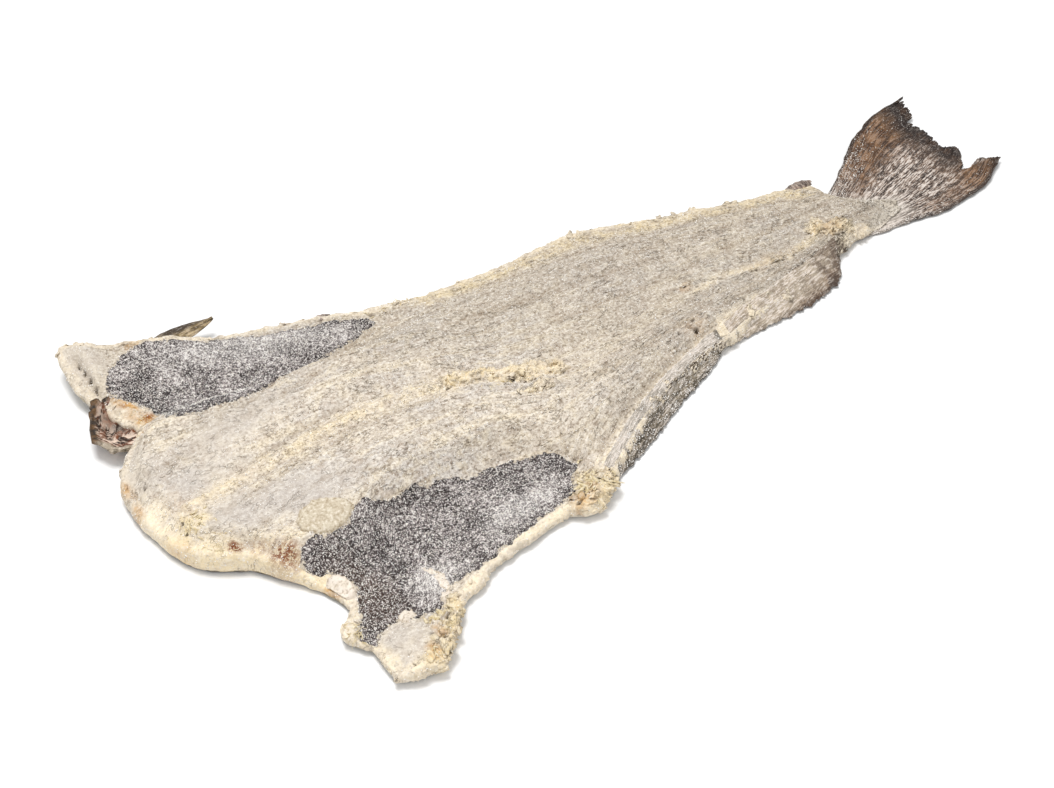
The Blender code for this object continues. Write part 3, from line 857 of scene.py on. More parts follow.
def apply_modifier(piece: Piece, kind: str, **settings: Any) -> None:
    """Add a modifier, set it and apply it.

    Args:
        piece: The mesh object.
        kind: Blender's name of the modifier.
        settings: Its settings.
    """
    make_active(piece)
    modifier = piece.modifiers.new(kind.lower(), kind)
    for key, value in settings.items():
        setattr(modifier, key, value)
    bpy.ops.object.modifier_apply(modifier=modifier.name)


def keep(piece: Piece, **layers: Array) -> None:
    """Keep values for each point of a mesh, for its material to read.

    Args:
        piece: The mesh object.
        layers: Numbers, or vectors of three, under the names that the material knows them by.
    """
    for name, values in layers.items():
        kind, key = ("FLOAT_VECTOR", "vector") if np.ndim(values) == 2 else ("FLOAT", "value")
        layer = piece.data.attributes.new(name, kind, "POINT")
        layer.data.foreach_set(key, np.ascontiguousarray(values, dtype=np.float32).ravel())


def keep_flow(piece: Piece) -> None:
    """Keep where each point lies along and across the fibres, for the piece's material to read."""
    points, x, y = plan_points(piece)
    keep(piece, flow=np.stack([x, FILLET.across_at(x, y) * COLUMN_WIDTH, points[:, 2]], axis=-1))


def plan_points(piece: Piece) -> tuple[Array, Array, Array]:
    """Read a mesh's points as places on the plan: all three numbers, X alone and Y alone."""
    points = FILLET.from_frame(read_points(piece))
    return points, points[:, 0], points[:, 1]


def thicken(piece: Piece, points: Array, wall: float, dropped: Union[Array, None] = None) -> None:
    """Lay a grid on the plan as the upper face of a thin closed piece.

    Args:
        piece: The grid.
        points: Where its points lie on the plan.
        wall: How thick the piece is.
        dropped: Which of the points are deleted, if any.
    """
    write_points(piece, FILLET.to_frame(points))
    if dropped is not None:
        delete_points(piece, dropped)
    apply_modifier(piece, "SOLIDIFY", thickness=wall, offset=-1)
    face_outwards(piece)


def finish_piece(piece: Piece, material: bpy.types.Material) -> None:
    """Dress a piece, shade it smooth and let it ride with the fish.

    Args:
        piece: The mesh object.
        material: Its material.
    """
    piece.data.materials.clear()
    piece.data.materials.append(material)
    piece.data.shade_smooth()
    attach(piece, BODY)
    faces = sum(len(face.vertices) - 2 for face in piece.data.polygons)
    LOG.info("%s: %d triangles", piece.name, faces)


# ---- materials
class Wire:
    """A number on its way through a material: arithmetic on it adds Math nodes."""

    def __init__(self, recipe: "Recipe", socket: bpy.types.NodeSocket) -> None:
        """Hold the output of a node of the recipe's material."""
        self.recipe = recipe
        self.socket = socket

    def maths(self, operation: str, first: Any, second: Any = 0) -> "Wire":
        """Add one Math node."""
        return self.recipe.node("ShaderNodeMath", {"operation": operation}, {0: first, 1: second})

    def __add__(self, other: Any) -> "Wire":
        """Add."""
        return self.maths("ADD", self, other)

    def __radd__(self, other: Any) -> "Wire":
        """Add to a number."""
        return self.maths("ADD", other, self)

    def __sub__(self, other: Any) -> "Wire":
        """Subtract."""
        return self.maths("SUBTRACT", self, other)

    def __rsub__(self, other: Any) -> "Wire":
        """Subtract from a number."""
        return self.maths("SUBTRACT", other, self)

    def __mul__(self, other: Any) -> "Wire":
        """Multiply."""
        return self.maths("MULTIPLY", self, other)

    def __rmul__(self, other: Any) -> "Wire":
        """Multiply a number."""
        return self.maths("MULTIPLY", other, self)

    def larger(self, other: Any) -> "Wire":
        """Take the larger of two numbers."""
        return self.maths("MAXIMUM", self, other)

    def plain(self) -> "Wire":
        """Drop the sign."""
        return self.maths("ABSOLUTE", self)

    def rise(self, start: float, end: float) -> "Wire":
        """Rise smoothly from 0 at start to 1 at end."""
        low, high, first, last = (start, end, 0, 1) if start < end else (end, start, 1, 0)
        settings = {"interpolation_type": "SMOOTHSTEP"}
        inputs = {"Value": self, "From Min": low, "From Max": high, "To Min": first, "To Max": last}
        return self.recipe.node("ShaderNodeMapRange", settings, inputs)


class Recipe:
    """A material being put together from nodes."""

    def __init__(self, name: str) -> None:
        """Start an empty material.

        Args:
            name: Its name.
        """
        self.material = bpy.data.materials.new(name)
        self.material.use_nodes = True
        self.tree = self.material.node_tree
        self.tree.nodes.clear()

    def node(self, kind: str, settings: dict[str, Any], inputs: dict[Any, Any], output: Any = 0) -> Wire:
        """Add a node.

        Args:
            kind: Blender's name of the node.
            settings: What is set on the node itself.
            inputs: Numbers, colours or wires for its inputs, by name or number.
            output: Which output to carry on, by name or number.

        Returns:
            The wire that leaves the node.
        """
        made = self.tree.nodes.new(kind)
        for key, value in settings.items():
            setattr(made, key, value)
        for key, value in inputs.items():
            if isinstance(value, Wire):
                self.tree.links.new(value.socket, made.inputs[key])
            else:
                made.inputs[key].default_value = value
        return Wire(self, made.outputs[output])

    def place(self) -> Wire:
        """Where on the piece the surface is, in metres."""
        return self.node("ShaderNodeTexCoord", {}, {}, "Object")

    def flow(self, stretch: tuple[float, float, float] = (0.16, 1, 0.3)) -> Wire:
        """Where along and across the fibres the surface is, drawn out along them."""
        stored = self.node("ShaderNodeAttribute", {"attribute_name": "flow"}, {}, "Vector")
        return self.node("ShaderNodeMapping", {}, {"Vector": stored, "Scale": stretch})

    def mask(self, name: str) -> Wire:
        """A number that the mesh keeps for each point."""
        return self.node("ShaderNodeAttribute", {"attribute_name": name}, {}, "Fac")

    def noise(self, place: Wire, size: float, detail: float = 2.0, rough: float = 0.55) -> Wire:
        """Noise from 0 to 1: the width of a swell, how many finer layers it has and how strong they are."""
        inputs = {"Vector": place, "Scale": 1 / size, "Detail": detail, "Roughness": rough}
        return self.node("ShaderNodeTexNoise", {}, inputs, "Fac")

    def spots(self, place: Wire, size: float) -> Wire:
        """Scattered cells, as the distance to the nearest one's middle."""
        return self.node("ShaderNodeTexVoronoi", {}, {"Vector": place, "Scale": 1 / size}, "Distance")

    def mix(self, share: Any, first: Any, second: Any) -> Wire:
        """Mix two colours."""
        settings = {"data_type": "RGBA", "clamp_factor": True}
        return self.node("ShaderNodeMix", settings, {0: share, 6: first, 7: second}, 2)

    def coats(self, colour: Any, *coats: tuple[Any, Any]) -> Wire:
        """Lay colours over a colour, one after another.

        Args:
            colour: What lies undermost.
            coats: How thickly each further colour lies, from 0 to 1, and that colour.

        Returns:
            The colour that shows.
        """
        for share, tint in coats:
            colour = self.mix(share, colour, tint)
        return colour

    def bump(self, height: Wire, distance: float, strength: float) -> Wire:
        """Turn a height into a surface's direction; a height of 1 stands as high as the distance."""
        inputs = {"Height": height, "Distance": distance, "Strength": strength}
        return self.node("ShaderNodeBump", {}, inputs, "Normal")

    def surface(self, colour: Wire, roughness: Any, normal: Wire, shine: float) -> bpy.types.Material:
        """Finish the material with a Principled shader.

        Args:
            colour: The surface's colour.
            roughness: A number or a wire.
            normal: The surface's direction.
            shine: How strongly it mirrors, the same all over.

        Returns:
            The material.
        """
        shader = self.node("ShaderNodeBsdfPrincipled", {}, {
            "Base Color": colour, "Roughness": roughness, "Normal": normal, "Specular IOR Level": shine})
        made = self.tree.nodes.new("ShaderNodeOutputMaterial")
        self.tree.links.new(shader.socket, made.inputs["Surface"])
        return self.material


@dataclass(frozen=True)
class FleshFinish:
    """Dry salted flesh: beige, with grey mottling, cream edges, stains and fine salt; painted shade darkens
    its pits, cracks, dips, creases, holes and far side, and a painted highlight partly lightens the crests of
    its fine grain.
    """

    beige: tuple = rgb(216, 205, 189)
    warm: tuple = rgb(222, 208, 182)
    grey: tuple = rgb(201, 194, 186)
    pink: tuple = rgb(206, 190, 177)
    pale: tuple = rgb(238, 232, 220)
    # Painted shade of the pits, dips and creases.
    pit: tuple = rgb(130, 113, 95)
    fleck: tuple = rgb(108, 90, 68)
    shade: tuple = rgb(178, 165, 148)
    # Painted shade of the far side, and duller flesh towards the tail and beside the groove.
    dull_and_far_shade: tuple = rgb(164, 154, 140)
    cream: tuple = rgb(243, 227, 198)
    smooth: tuple = rgb(190, 182, 174)
    yellow: tuple = rgb(224, 202, 152)
    ochre: tuple = rgb(190, 136, 46)
    russet: tuple = rgb(122, 68, 36)
    # Painted shade inside the small holes.
    hole: tuple = rgb(58, 44, 26)
    fin_dark: tuple = rgb(78, 66, 54)
    crust: tuple = rgb(207, 198, 184)
    grain: float = 0.0017

    def build(self, name: str) -> bpy.types.Material:
        """Mix the material.

        Args:
            name: Its name.

        Returns:
            The material.
        """
        recipe = Recipe(name)
        place = recipe.place()
        flow = recipe.flow((0.3, 1, 0.3))
        broad = recipe.noise(place, 0.045, 3)
        mottle = recipe.noise(place, 0.008, 3, 0.6)
        bands = recipe.noise(recipe.flow((0.07, 1, 0.3)), 0.008, 3, 0.55)
        fibre = recipe.noise(flow, 0.0018, 2, 0.6)
        fine = recipe.noise(place, self.grain, 2, 0.6)
        finer = recipe.noise(place, 0.55 * self.grain, 1, 0.5)
        plates = recipe.mask("plate")
        cream = recipe.mask("cream")
        # Painted shade in the flesh's dips and creases.
        low = recipe.mask("low")
        fin = recipe.mask("fin")
        calm = (1 - 0.72 * cream) * (1 - 0.5 * plates)
        # Painted cavity shade: the pits are darkest where the fine bump is lowest.
        pits = fine.rise(0.5, 0.36) * 0.42 + fibre.rise(0.5, 0.36) * 0.32 + finer.rise(0.44, 0.3) * 0.25
        # Pale speckle on the crests of the fine bump: pale grains, partly a painted highlight.
        light = fine.rise(0.53, 0.66) * 0.42 + fibre.rise(0.55, 0.7) * 0.25
        torn = recipe.noise(recipe.flow((0.45, 1, 0.3)), 0.01, 4, 0.65)
        # Cracks: grooves in the bump, which the colour darkens as painted shade.
        cracks = (torn - 0.5).plain().rise(0.014, 0.003) * recipe.noise(place, 0.014, 2).rise(0.46, 0.58)
        flecks = recipe.noise(recipe.flow((0.5, 1, 0.3)), 0.0019, 3, 0.75).rise(0.385, 0.315)
        stain = 0.35 + 0.65 * recipe.noise(place, 0.0035, 3).rise(0.36, 0.62)
        blood = 0.25 + 0.75 * recipe.noise(place, 0.003, 4, 0.85).rise(0.45, 0.52)
        crust = recipe.mix(fine.rise(0.5, 0.38) * 0.6, self.crust, self.fin_dark)
        streaks = recipe.noise(flow, 0.0013, 2, 0.6) * 0.6 + fine * 0.4
        colour = recipe.coats(
            self.beige,
            (broad.rise(0.4, 0.62), self.grey),
            (mottle.rise(0.5, 0.66) * 0.55, self.warm),
            (mottle.rise(0.46, 0.34) * 0.5, self.pink),
            (bands.rise(0.51, 0.62) * (1 - plates) * 0.6, self.warm),
            (bands.rise(0.48, 0.38) * 0.3 * (1 - plates), self.shade),
            # Painted shade on the far side, and duller flesh towards the tail and beside the groove.
            (recipe.mask("dull_and_far_shade") * 0.48, self.dull_and_far_shade),
            (plates * (0.55 + 0.35 * broad.rise(0.4, 0.55)), self.smooth),
            (cream * (0.55 + 0.4 * mottle.rise(0.3, 0.6)), self.cream),
            (recipe.mask("yellow") * (0.35 + 0.65 * mottle.rise(0.35, 0.62)), self.yellow),
            # Painted shade: darker in the dips and creases, over grey mottling.
            ((mottle.rise(0.52, 0.36) * 0.3 + low * 0.45) * calm, self.shade),
            # Painted shade in the pits and, more weakly, in the dips and creases.
            ((pits + low * 0.2) * calm, self.pit),
            # Pale grains on the crests, partly a painted highlight, less in the painted shade of the dips.
            (light * (1 - 0.5 * low) * (1 - 0.3 * plates), self.pale),
            # Painted shade in the cracks, and dark flecks in the flesh.
            ((cracks * 0.5 + flecks * 0.6) * (1 - 0.5 * cream.larger(plates)), self.fleck),
            (recipe.mask("ochre") * stain, self.ochre),
            (recipe.mask("russet") * blood, self.russet),
            ((recipe.mask("tail") * 0.75 + mottle - 0.45).rise(0.15, 0.75) * 0.8, crust),
            ((fin * 0.5 + streaks.rise(0.62, 0.4) * 0.7).rise(0.5, 0.95) * fin.rise(0, 0.3), self.fin_dark),
            # Painted shade: the small holes are coloured near black.
            (recipe.mask("hole"), self.hole))
        normal = recipe.bump(fine * 0.6 + fibre * 0.4 + mottle * 0.5 - cracks * 0.5, 0.001, 0.85)
        return recipe.surface(colour, 0.62 + 0.25 * fine, normal, 0.28)


@dataclass(frozen=True)
class LiningFinish:
    """The dark belly lining, thickly speckled with dried salt and torn off towards its border, with bands of
    painted shade.
    """

    dark: tuple = rgb(82, 71, 70)
    grey: tuple = rgb(130, 119, 117)
    brown: tuple = rgb(84, 62, 50)
    salt: tuple = rgb(236, 231, 226)
    haze: tuple = rgb(186, 181, 177)
    flesh: tuple = rgb(206, 194, 174)
    pit: tuple = rgb(38, 31, 31)
    rust: tuple = rgb(56, 36, 24)
    grain: float = 0.0018

    def build(self, name: str) -> bpy.types.Material:
        """Mix the material.

        Args:
            name: Its name.

        Returns:
            The material.
        """
        recipe = Recipe(name)
        place = recipe.place()
        cloud = recipe.noise(place, 0.016, 3, 0.55)
        fine = recipe.noise(recipe.flow((0.75, 1, 0.5)), self.grain, 4, 0.85)
        finer = recipe.noise(place, 0.45 * self.grain, 1, 0.5)
        pale = recipe.mask("pale")
        brown = recipe.mask("brown")
        rim = recipe.mask("rim")
        # Painted shade over bands of the linings, strongest on the far lining beside the collar.
        dim = recipe.mask("dim")
        level = fine + (cloud - 0.5) * 0.22 + pale * 0.03 - brown * 0.05 - rim * 0.06 - dim * 0.09
        torn = recipe.noise(place, 0.0045, 3, 0.65) * 0.75 + recipe.mask("blend") * 0.3
        colour = recipe.coats(
            self.dark,
            ((cloud + 0.6 * (fine - 0.5)).rise(0.36, 0.64), self.grey),
            # Painted shade: darker, and less salted in the level above.
            (dim * 0.6, self.dark),
            (brown * 0.85, self.brown),
            (pale * 0.55, self.haze),
            (level.rise(0.51, 0.43) * (1 - 0.55 * pale), recipe.mix(brown * 0.8, self.pit, self.rust)),
            (level.rise(0.53, 0.62) * (0.92 - 0.25 * brown), self.salt),
            (finer.rise(0.56, 0.66) * 0.62, self.salt),
            (finer.rise(0.46, 0.36) * 0.62, self.pit),
            (rim * 0.38, self.pit),
            (torn.rise(0.63, 0.69), recipe.mix(fine.rise(0.5, 0.4), self.flesh, self.grey)))
        normal = recipe.bump(fine * 0.8 + finer * 0.4, 0.0012, 0.85)
        return recipe.surface(colour, 0.55 + 0.25 * fine, normal, 0.35)


@dataclass(frozen=True)
class PlainFatFinish:
    """Smooth pale fat and gristle, such as the oval patch and the loose flake, darkened along its border with
    painted shade.
    """

    base: tuple = rgb(212, 200, 184)
    pale: tuple = rgb(226, 215, 203)
    shade: tuple = rgb(164, 148, 126)
    # How strongly the border is darkened with painted shade.
    border_shade: float = 0.35
    salt: tuple = rgb(232, 224, 210)

    def build(self, name: str) -> bpy.types.Material:
        """Mix the material.

        Args:
            name: Its name.

        Returns:
            The material.
        """
        recipe = Recipe(name)
        place = recipe.place()
        soft = recipe.noise(place, 0.006, 3)
        fine = recipe.noise(place, 0.0019, 2, 0.6)
        # Nearness to the patch's border, which carries the painted border shade.
        border = recipe.mask("blend")
        colour = recipe.coats(
            self.base,
            (soft.rise(0.35, 0.65), self.pale),
            # Darker speckle, and darkening along the border where the patch meets the flesh: painted shade.
            (fine.rise(0.5, 0.34) * (0.55 + 0.35 * border), self.shade),
            (fine.rise(0.52, 0.66) * 0.5, self.salt),
            ((soft * 0.6 + border * 0.4).rise(0.55, 0.8) * self.border_shade, self.shade))
        normal = recipe.bump(fine * 0.6 + soft * 0.6, 0.0008, 0.7)
        return recipe.surface(colour, 0.6 + 0.2 * fine, normal, 0.3)


@dataclass(frozen=True)
class FinFinish:
    """Dried fin: brown skin over rays, dark at its torn rim and crusted with salt at its root."""

    brown: tuple = rgb(92, 63, 40)
    light: tuple = rgb(140, 104, 72)
    dark: tuple = rgb(38, 27, 22)
    salt: tuple = rgb(226, 216, 207)
    crust: tuple = rgb(190, 181, 170)
    haze: tuple = rgb(142, 130, 121)
    streak: float = 0.0012
    net: float = 0.0011

    def build(self, name: str) -> bpy.types.Material:
        """Mix the material. The mesh keeps a flow, and masks for its root, salt and dark rim.

        Args:
            name: Its name.

        Returns:
            The material.
        """
        recipe = Recipe(name)
        place = recipe.place()
        lines = recipe.noise(recipe.flow((0.24, 1, 0.3)), self.streak, 3, 0.65)
        net = recipe.noise(recipe.flow((1.3, 1, 0.3)), self.net, 2, 0.6)
        cloud = recipe.noise(place, 0.01, 3)
        fine = recipe.noise(place, 0.0017, 3, 0.75)
        finer = recipe.noise(place, 0.001, 1, 0.5)
        rim = recipe.mask("rim")
        root = recipe.mask("root")
        salt = recipe.mask("salt")
        level = fine * 0.15 + lines * 0.3 + net * 0.55 + root * 0.02 + (cloud - 0.5) * 0.12 - rim * 0.03
        colour = recipe.coats(
            self.brown,
            (cloud.rise(0.35, 0.65), self.light),
            (lines.rise(0.5, 0.38) * 0.7, self.dark),
            (lines.rise(0.52, 0.62) * 0.45, self.light),
            (rim * (0.65 + 0.35 * cloud.rise(0.35, 0.55)), self.dark),
            (salt * 0.6, self.haze),
            (root * (0.75 + 0.25 * cloud.rise(0.36, 0.56)) * 0.85, self.crust),
            (level.rise(0.5, 0.44) * (0.48 + 0.5 * salt) * (1 - 0.55 * root), self.dark),
            (level.rise(0.51, 0.57) * (0.12 + 0.72 * salt.larger(root * 0.8)), self.salt),
            (finer.rise(0.58, 0.68) * (0.2 + 0.25 * salt), self.salt))
        normal = recipe.bump(lines * 0.6 + fine * 0.5, 0.0009, 0.85)
        return recipe.surface(colour, 0.5 + 0.3 * fine, normal, 0.35)


@dataclass(frozen=True)
class CollarFinish:
    """Inside of the collar's cup, red-brown with pale streaks, and its olive-brown skin outside."""

    blood: tuple = rgb(110, 60, 30)
    deep: tuple = rgb(42, 23, 12)
    streak: tuple = rgb(228, 206, 188)
    skin: tuple = rgb(98, 70, 40)
    dark: tuple = rgb(42, 29, 17)
    crust: tuple = rgb(172, 160, 142)
    salt: tuple = rgb(216, 204, 188)

    def build(self, name: str) -> bpy.types.Material:
        """Mix the material. The mesh keeps a flow, and masks for its skin, low side and blood.

        Args:
            name: Its name.

        Returns:
            The material.
        """
        recipe = Recipe(name)
        place = recipe.place()
        cloud = recipe.noise(place, 0.006, 3, 0.6)
        fine = recipe.noise(place, 0.0018, 2, 0.65)
        stripes = recipe.noise(recipe.flow((0.3, 1, 0.3)), 0.003, 3, 0.6)
        low_side = recipe.mask("low_side")
        shell = recipe.coats(
            self.skin,
            (cloud.rise(0.56, 0.38), self.dark),
            (low_side * 0.75, self.crust),
            (fine.rise(0.55, 0.66) * (0.08 + 0.45 * low_side), self.salt),
            (fine.rise(0.46, 0.36) * 0.5, self.dark))
        colour = recipe.coats(
            self.blood,
            (cloud.rise(0.62, 0.42), self.deep),
            (stripes.rise(0.49, 0.57) * (0.9 - 0.85 * recipe.mask("blood")), self.streak),
            (fine.rise(0.58, 0.66) * 0.35, self.salt),
            (recipe.mask("skin"), shell))
        normal = recipe.bump(fine * 0.6 + cloud + stripes, 0.0009, 0.8)
        return recipe.surface(colour, 0.45 + 0.3 * fine, normal, 0.4)


@dataclass(frozen=True)
class SkinFinish:
    """The skin side: olive grey, spotted, with a pale belly and a pale side line."""

    back: tuple = rgb(98, 88, 70)
    side: tuple = rgb(150, 140, 118)
    belly: tuple = rgb(206, 198, 182)
    spot: tuple = rgb(62, 54, 42)
    fin: tuple = rgb(84, 70, 52)
    salt: tuple = rgb(214, 208, 196)
    pit: tuple = rgb(52, 46, 38)

    def build(self, name: str) -> bpy.types.Material:
        """Mix the material. The mesh keeps how far from the back's middle each point is.

        Args:
            name: Its name.

        Returns:
            The material.
        """
        recipe = Recipe(name)
        place = recipe.place()
        reach = recipe.mask("reach")
        cloud = recipe.noise(place, 0.012, 4, 0.65)
        fine = recipe.noise(place, 0.0014, 2, 0.6)
        spots = recipe.spots(place, 0.011).rise(0.55, 0.25) * cloud.rise(0.4, 0.6)
        rays = recipe.noise(recipe.flow(), 0.0014, 2)
        colour = recipe.coats(
            self.back,
            ((reach + 0.35 * cloud).rise(0.35, 0.8), self.side),
            ((reach + 0.3 * cloud).rise(0.8, 1.15), self.belly),
            (spots * reach.rise(1.05, 0.55) * 0.8, self.spot),
            (recipe.mask("fin") * (0.45 + 0.55 * rays.rise(0.6, 0.4)), self.fin),
            (fine.rise(0.56, 0.68) * 0.35, self.salt),
            (fine.rise(0.44, 0.3) * 0.4, self.pit))
        normal = recipe.bump(fine * 0.6 + cloud * 0.4, 0.0005, 0.7)
        return recipe.surface(colour, 0.5 + 0.25 * fine, normal, 0.4)


@dataclass(frozen=True)
class SaltFinish:
    """Dry salt crystals, white with a little of what lies under them."""

    white: tuple = rgb(242, 239, 234)
    tint: tuple = rgb(210, 203, 194)

    def build(self, name: str) -> bpy.types.Material:
        """Mix the material.

        Args:
            name: Its name.

        Returns:
            The material.
        """
        recipe = Recipe(name)
        place = recipe.place()
        shade = recipe.noise(place, 0.0022, 1)
        colour = recipe.mix(shade.rise(0.38, 0.58), self.tint, self.white)
        normal = recipe.bump(shade, 0.0001, 0.2)
        return recipe.surface(colour, 0.38 + 0.2 * shade, normal, 0.45)


# ---- pieces
def rolled_grid(
    name: str,
    face: Array,
    rings: int,
    profile: Callable[[Array, Array, Array], tuple[Array, Array]],
) -> Piece:
    """Add a grid shaped as a face, with rings of faces that carry on past its border.

    Args:
        name: Name of the new object.
        face: Rows and columns of points.
        rings: How many rings surround the face.
        profile: Takes the border point's row, its column and the ring's share from 0 to 1. It
            gives how far out the ring lies and how far above the border point.

    Returns:
        The mesh object, open along its last ring.
    """
    rows = face.shape[0] - 1
    columns = face.shape[1] - 1
    piece, row, column = add_grid(name, rows + 2 * rings, columns + 2 * rings)
    inner_row = np.clip(row - rings, 0, rows)
    inner_column = np.clip(column - rings, 0, columns)
    ring = np.maximum(np.abs(row - rings - inner_row), np.abs(column - rings - inner_column))
    way = outward_ways(face)[inner_row, inner_column]
    points = face[inner_row, inner_column].copy()
    out, rise = profile(inner_row, inner_column, ring / rings)
    points[:, 0] += way[:, 0] * out
    points[:, 1] += way[:, 1] * out
    points[:, 2] += rise
    write_points(piece, FILLET.to_frame(points))
    edit(piece, (bpy.ops.mesh.remove_doubles, {"threshold": 1e-6}))
    return piece


def outward_ways(face: Array) -> Array:
    """Say which way is out at each point of a grid's border.

    Args:
        face: Rows and columns of points.

    Returns:
        Rows and columns of flat directions, nought away from the border.
    """
    way = np.zeros(face.shape[:2] + (2,))
    along = np.gradient(face[:, :, :2], axis=0)
    across = np.gradient(face[:, :, :2], axis=1)
    way[:, 0] += np.stack([along[:, 0, 1], -along[:, 0, 0]], axis=-1)
    way[:, -1] += np.stack([-along[:, -1, 1], along[:, -1, 0]], axis=-1)
    way[0, :] += np.stack([-across[0, :, 1], across[0, :, 0]], axis=-1)
    way[-1, :] += np.stack([across[-1, :, 1], -across[-1, :, 0]], axis=-1)
    size = np.linalg.norm(way, axis=-1, keepdims=True)
    return way / np.maximum(size, 1e-9)


@dataclass
class Body:
    """The flesh: the cut face with all its relief, its rounded edges and its underside."""

    rows: int = 440
    columns: int = 190
    rings: int = 7
    coarser: int = 6
    bulge: float = 0.34
    bulge_most: float = 0.003

    def build(self) -> Piece:
        """Model the flesh.

        Returns:
            The closed mesh object.
        """
        row_place = np.linspace(0, 1, self.rows + 1)
        row_place = row_place - 0.035 * np.sin(2 * math.pi * row_place) / (2 * math.pi)
        even = np.linspace(-1, 1, self.columns + 1)
        column_place = 0.88 * even + 0.12 * np.sin(0.5 * math.pi * even)
        along, across = np.meshgrid(row_place, column_place, indexing="ij")
        top, bottom = flesh_surface(along, across)
        thick = top[..., 2] - bottom[..., 2]
        ragged = FOLDS.layered(top[..., 0], top[..., 1], 0.0085, 4, 0.75)
        doughy = strongest((Marks.neck_rim, Marks.far_wing, Marks.far_rim), top[..., 0], top[..., 1], 0)
        ragged = ragged * (1 - 0.7 * doughy)
        reach = np.minimum(thick * self.bulge, self.bulge_most) * np.clip(1 + 1.6 * ragged, 0.15, 2.4)

        def edge_profile(row: Array, column: Array, share: Array) -> tuple:
            """Round the edge from the cut face down to the skin.

            Args:
                row: Row of the border point.
                column: Column of the border point.
                share: How far round the edge the ring lies, from 0 to 1.

            Returns:
                How far out the ring lies, and how far above the border point.
            """
            x = top[row, column, 0] + 0.006 * share
            y = top[row, column, 1] - 0.013 * share
            turn = math.pi * share
            rough = 0.75 * (1 - 0.75 * doughy[row, column])
            wobble = 1 + rough * CRUMB.layered(x, y, 0.005, 3, 0.7) * np.sin(turn)
            out = reach[row, column] * np.sin(turn) * wobble
            return out, -0.5 * thick[row, column] * (1 - np.cos(turn))

        upper = rolled_grid("flesh", top, self.rings, edge_profile)
        lower = self.underside()
        deselect_all()
        lower.select_set(True)
        upper.select_set(True)
        bpy.context.view_layer.objects.active = upper
        bpy.ops.object.join()
        borders = {"extend": False, "use_wire": False, "use_multi_face": False,
                   "use_non_contiguous": False, "use_verts": False}
        edit(upper, (bpy.ops.mesh.select_mode, {"type": "EDGE"}),
             (bpy.ops.mesh.select_non_manifold, borders),
             (bpy.ops.mesh.bridge_edge_loops, {}), action="DESELECT")
        face_outwards(upper)
        self.mark(upper)
        finish_piece(upper, FleshFinish().build("salted_flesh"))
        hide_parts(NODE)
        return upper

    def underside(self) -> Piece:
        """Shape the underside, coarser than the cut face and a little inside its border.

        Returns:
            The open mesh object.
        """
        rows = self.rows // self.coarser
        columns = self.columns // self.coarser
        piece, row, column = add_grid("flesh_underside", rows, columns)
        along = 0.004 + 0.99 * row / rows
        across = 0.965 * (2 * column / columns - 1)
        _, bottom = flesh_surface(along, across)
        write_points(piece, FILLET.to_frame(bottom))
        return piece

    def mark(self, piece: Piece) -> None:
        """Keep the masks that the flesh's material reads."""
        _, x, y = plan_points(piece)
        keep_flow(piece)
        keep(piece, **flesh_masks(x, y))


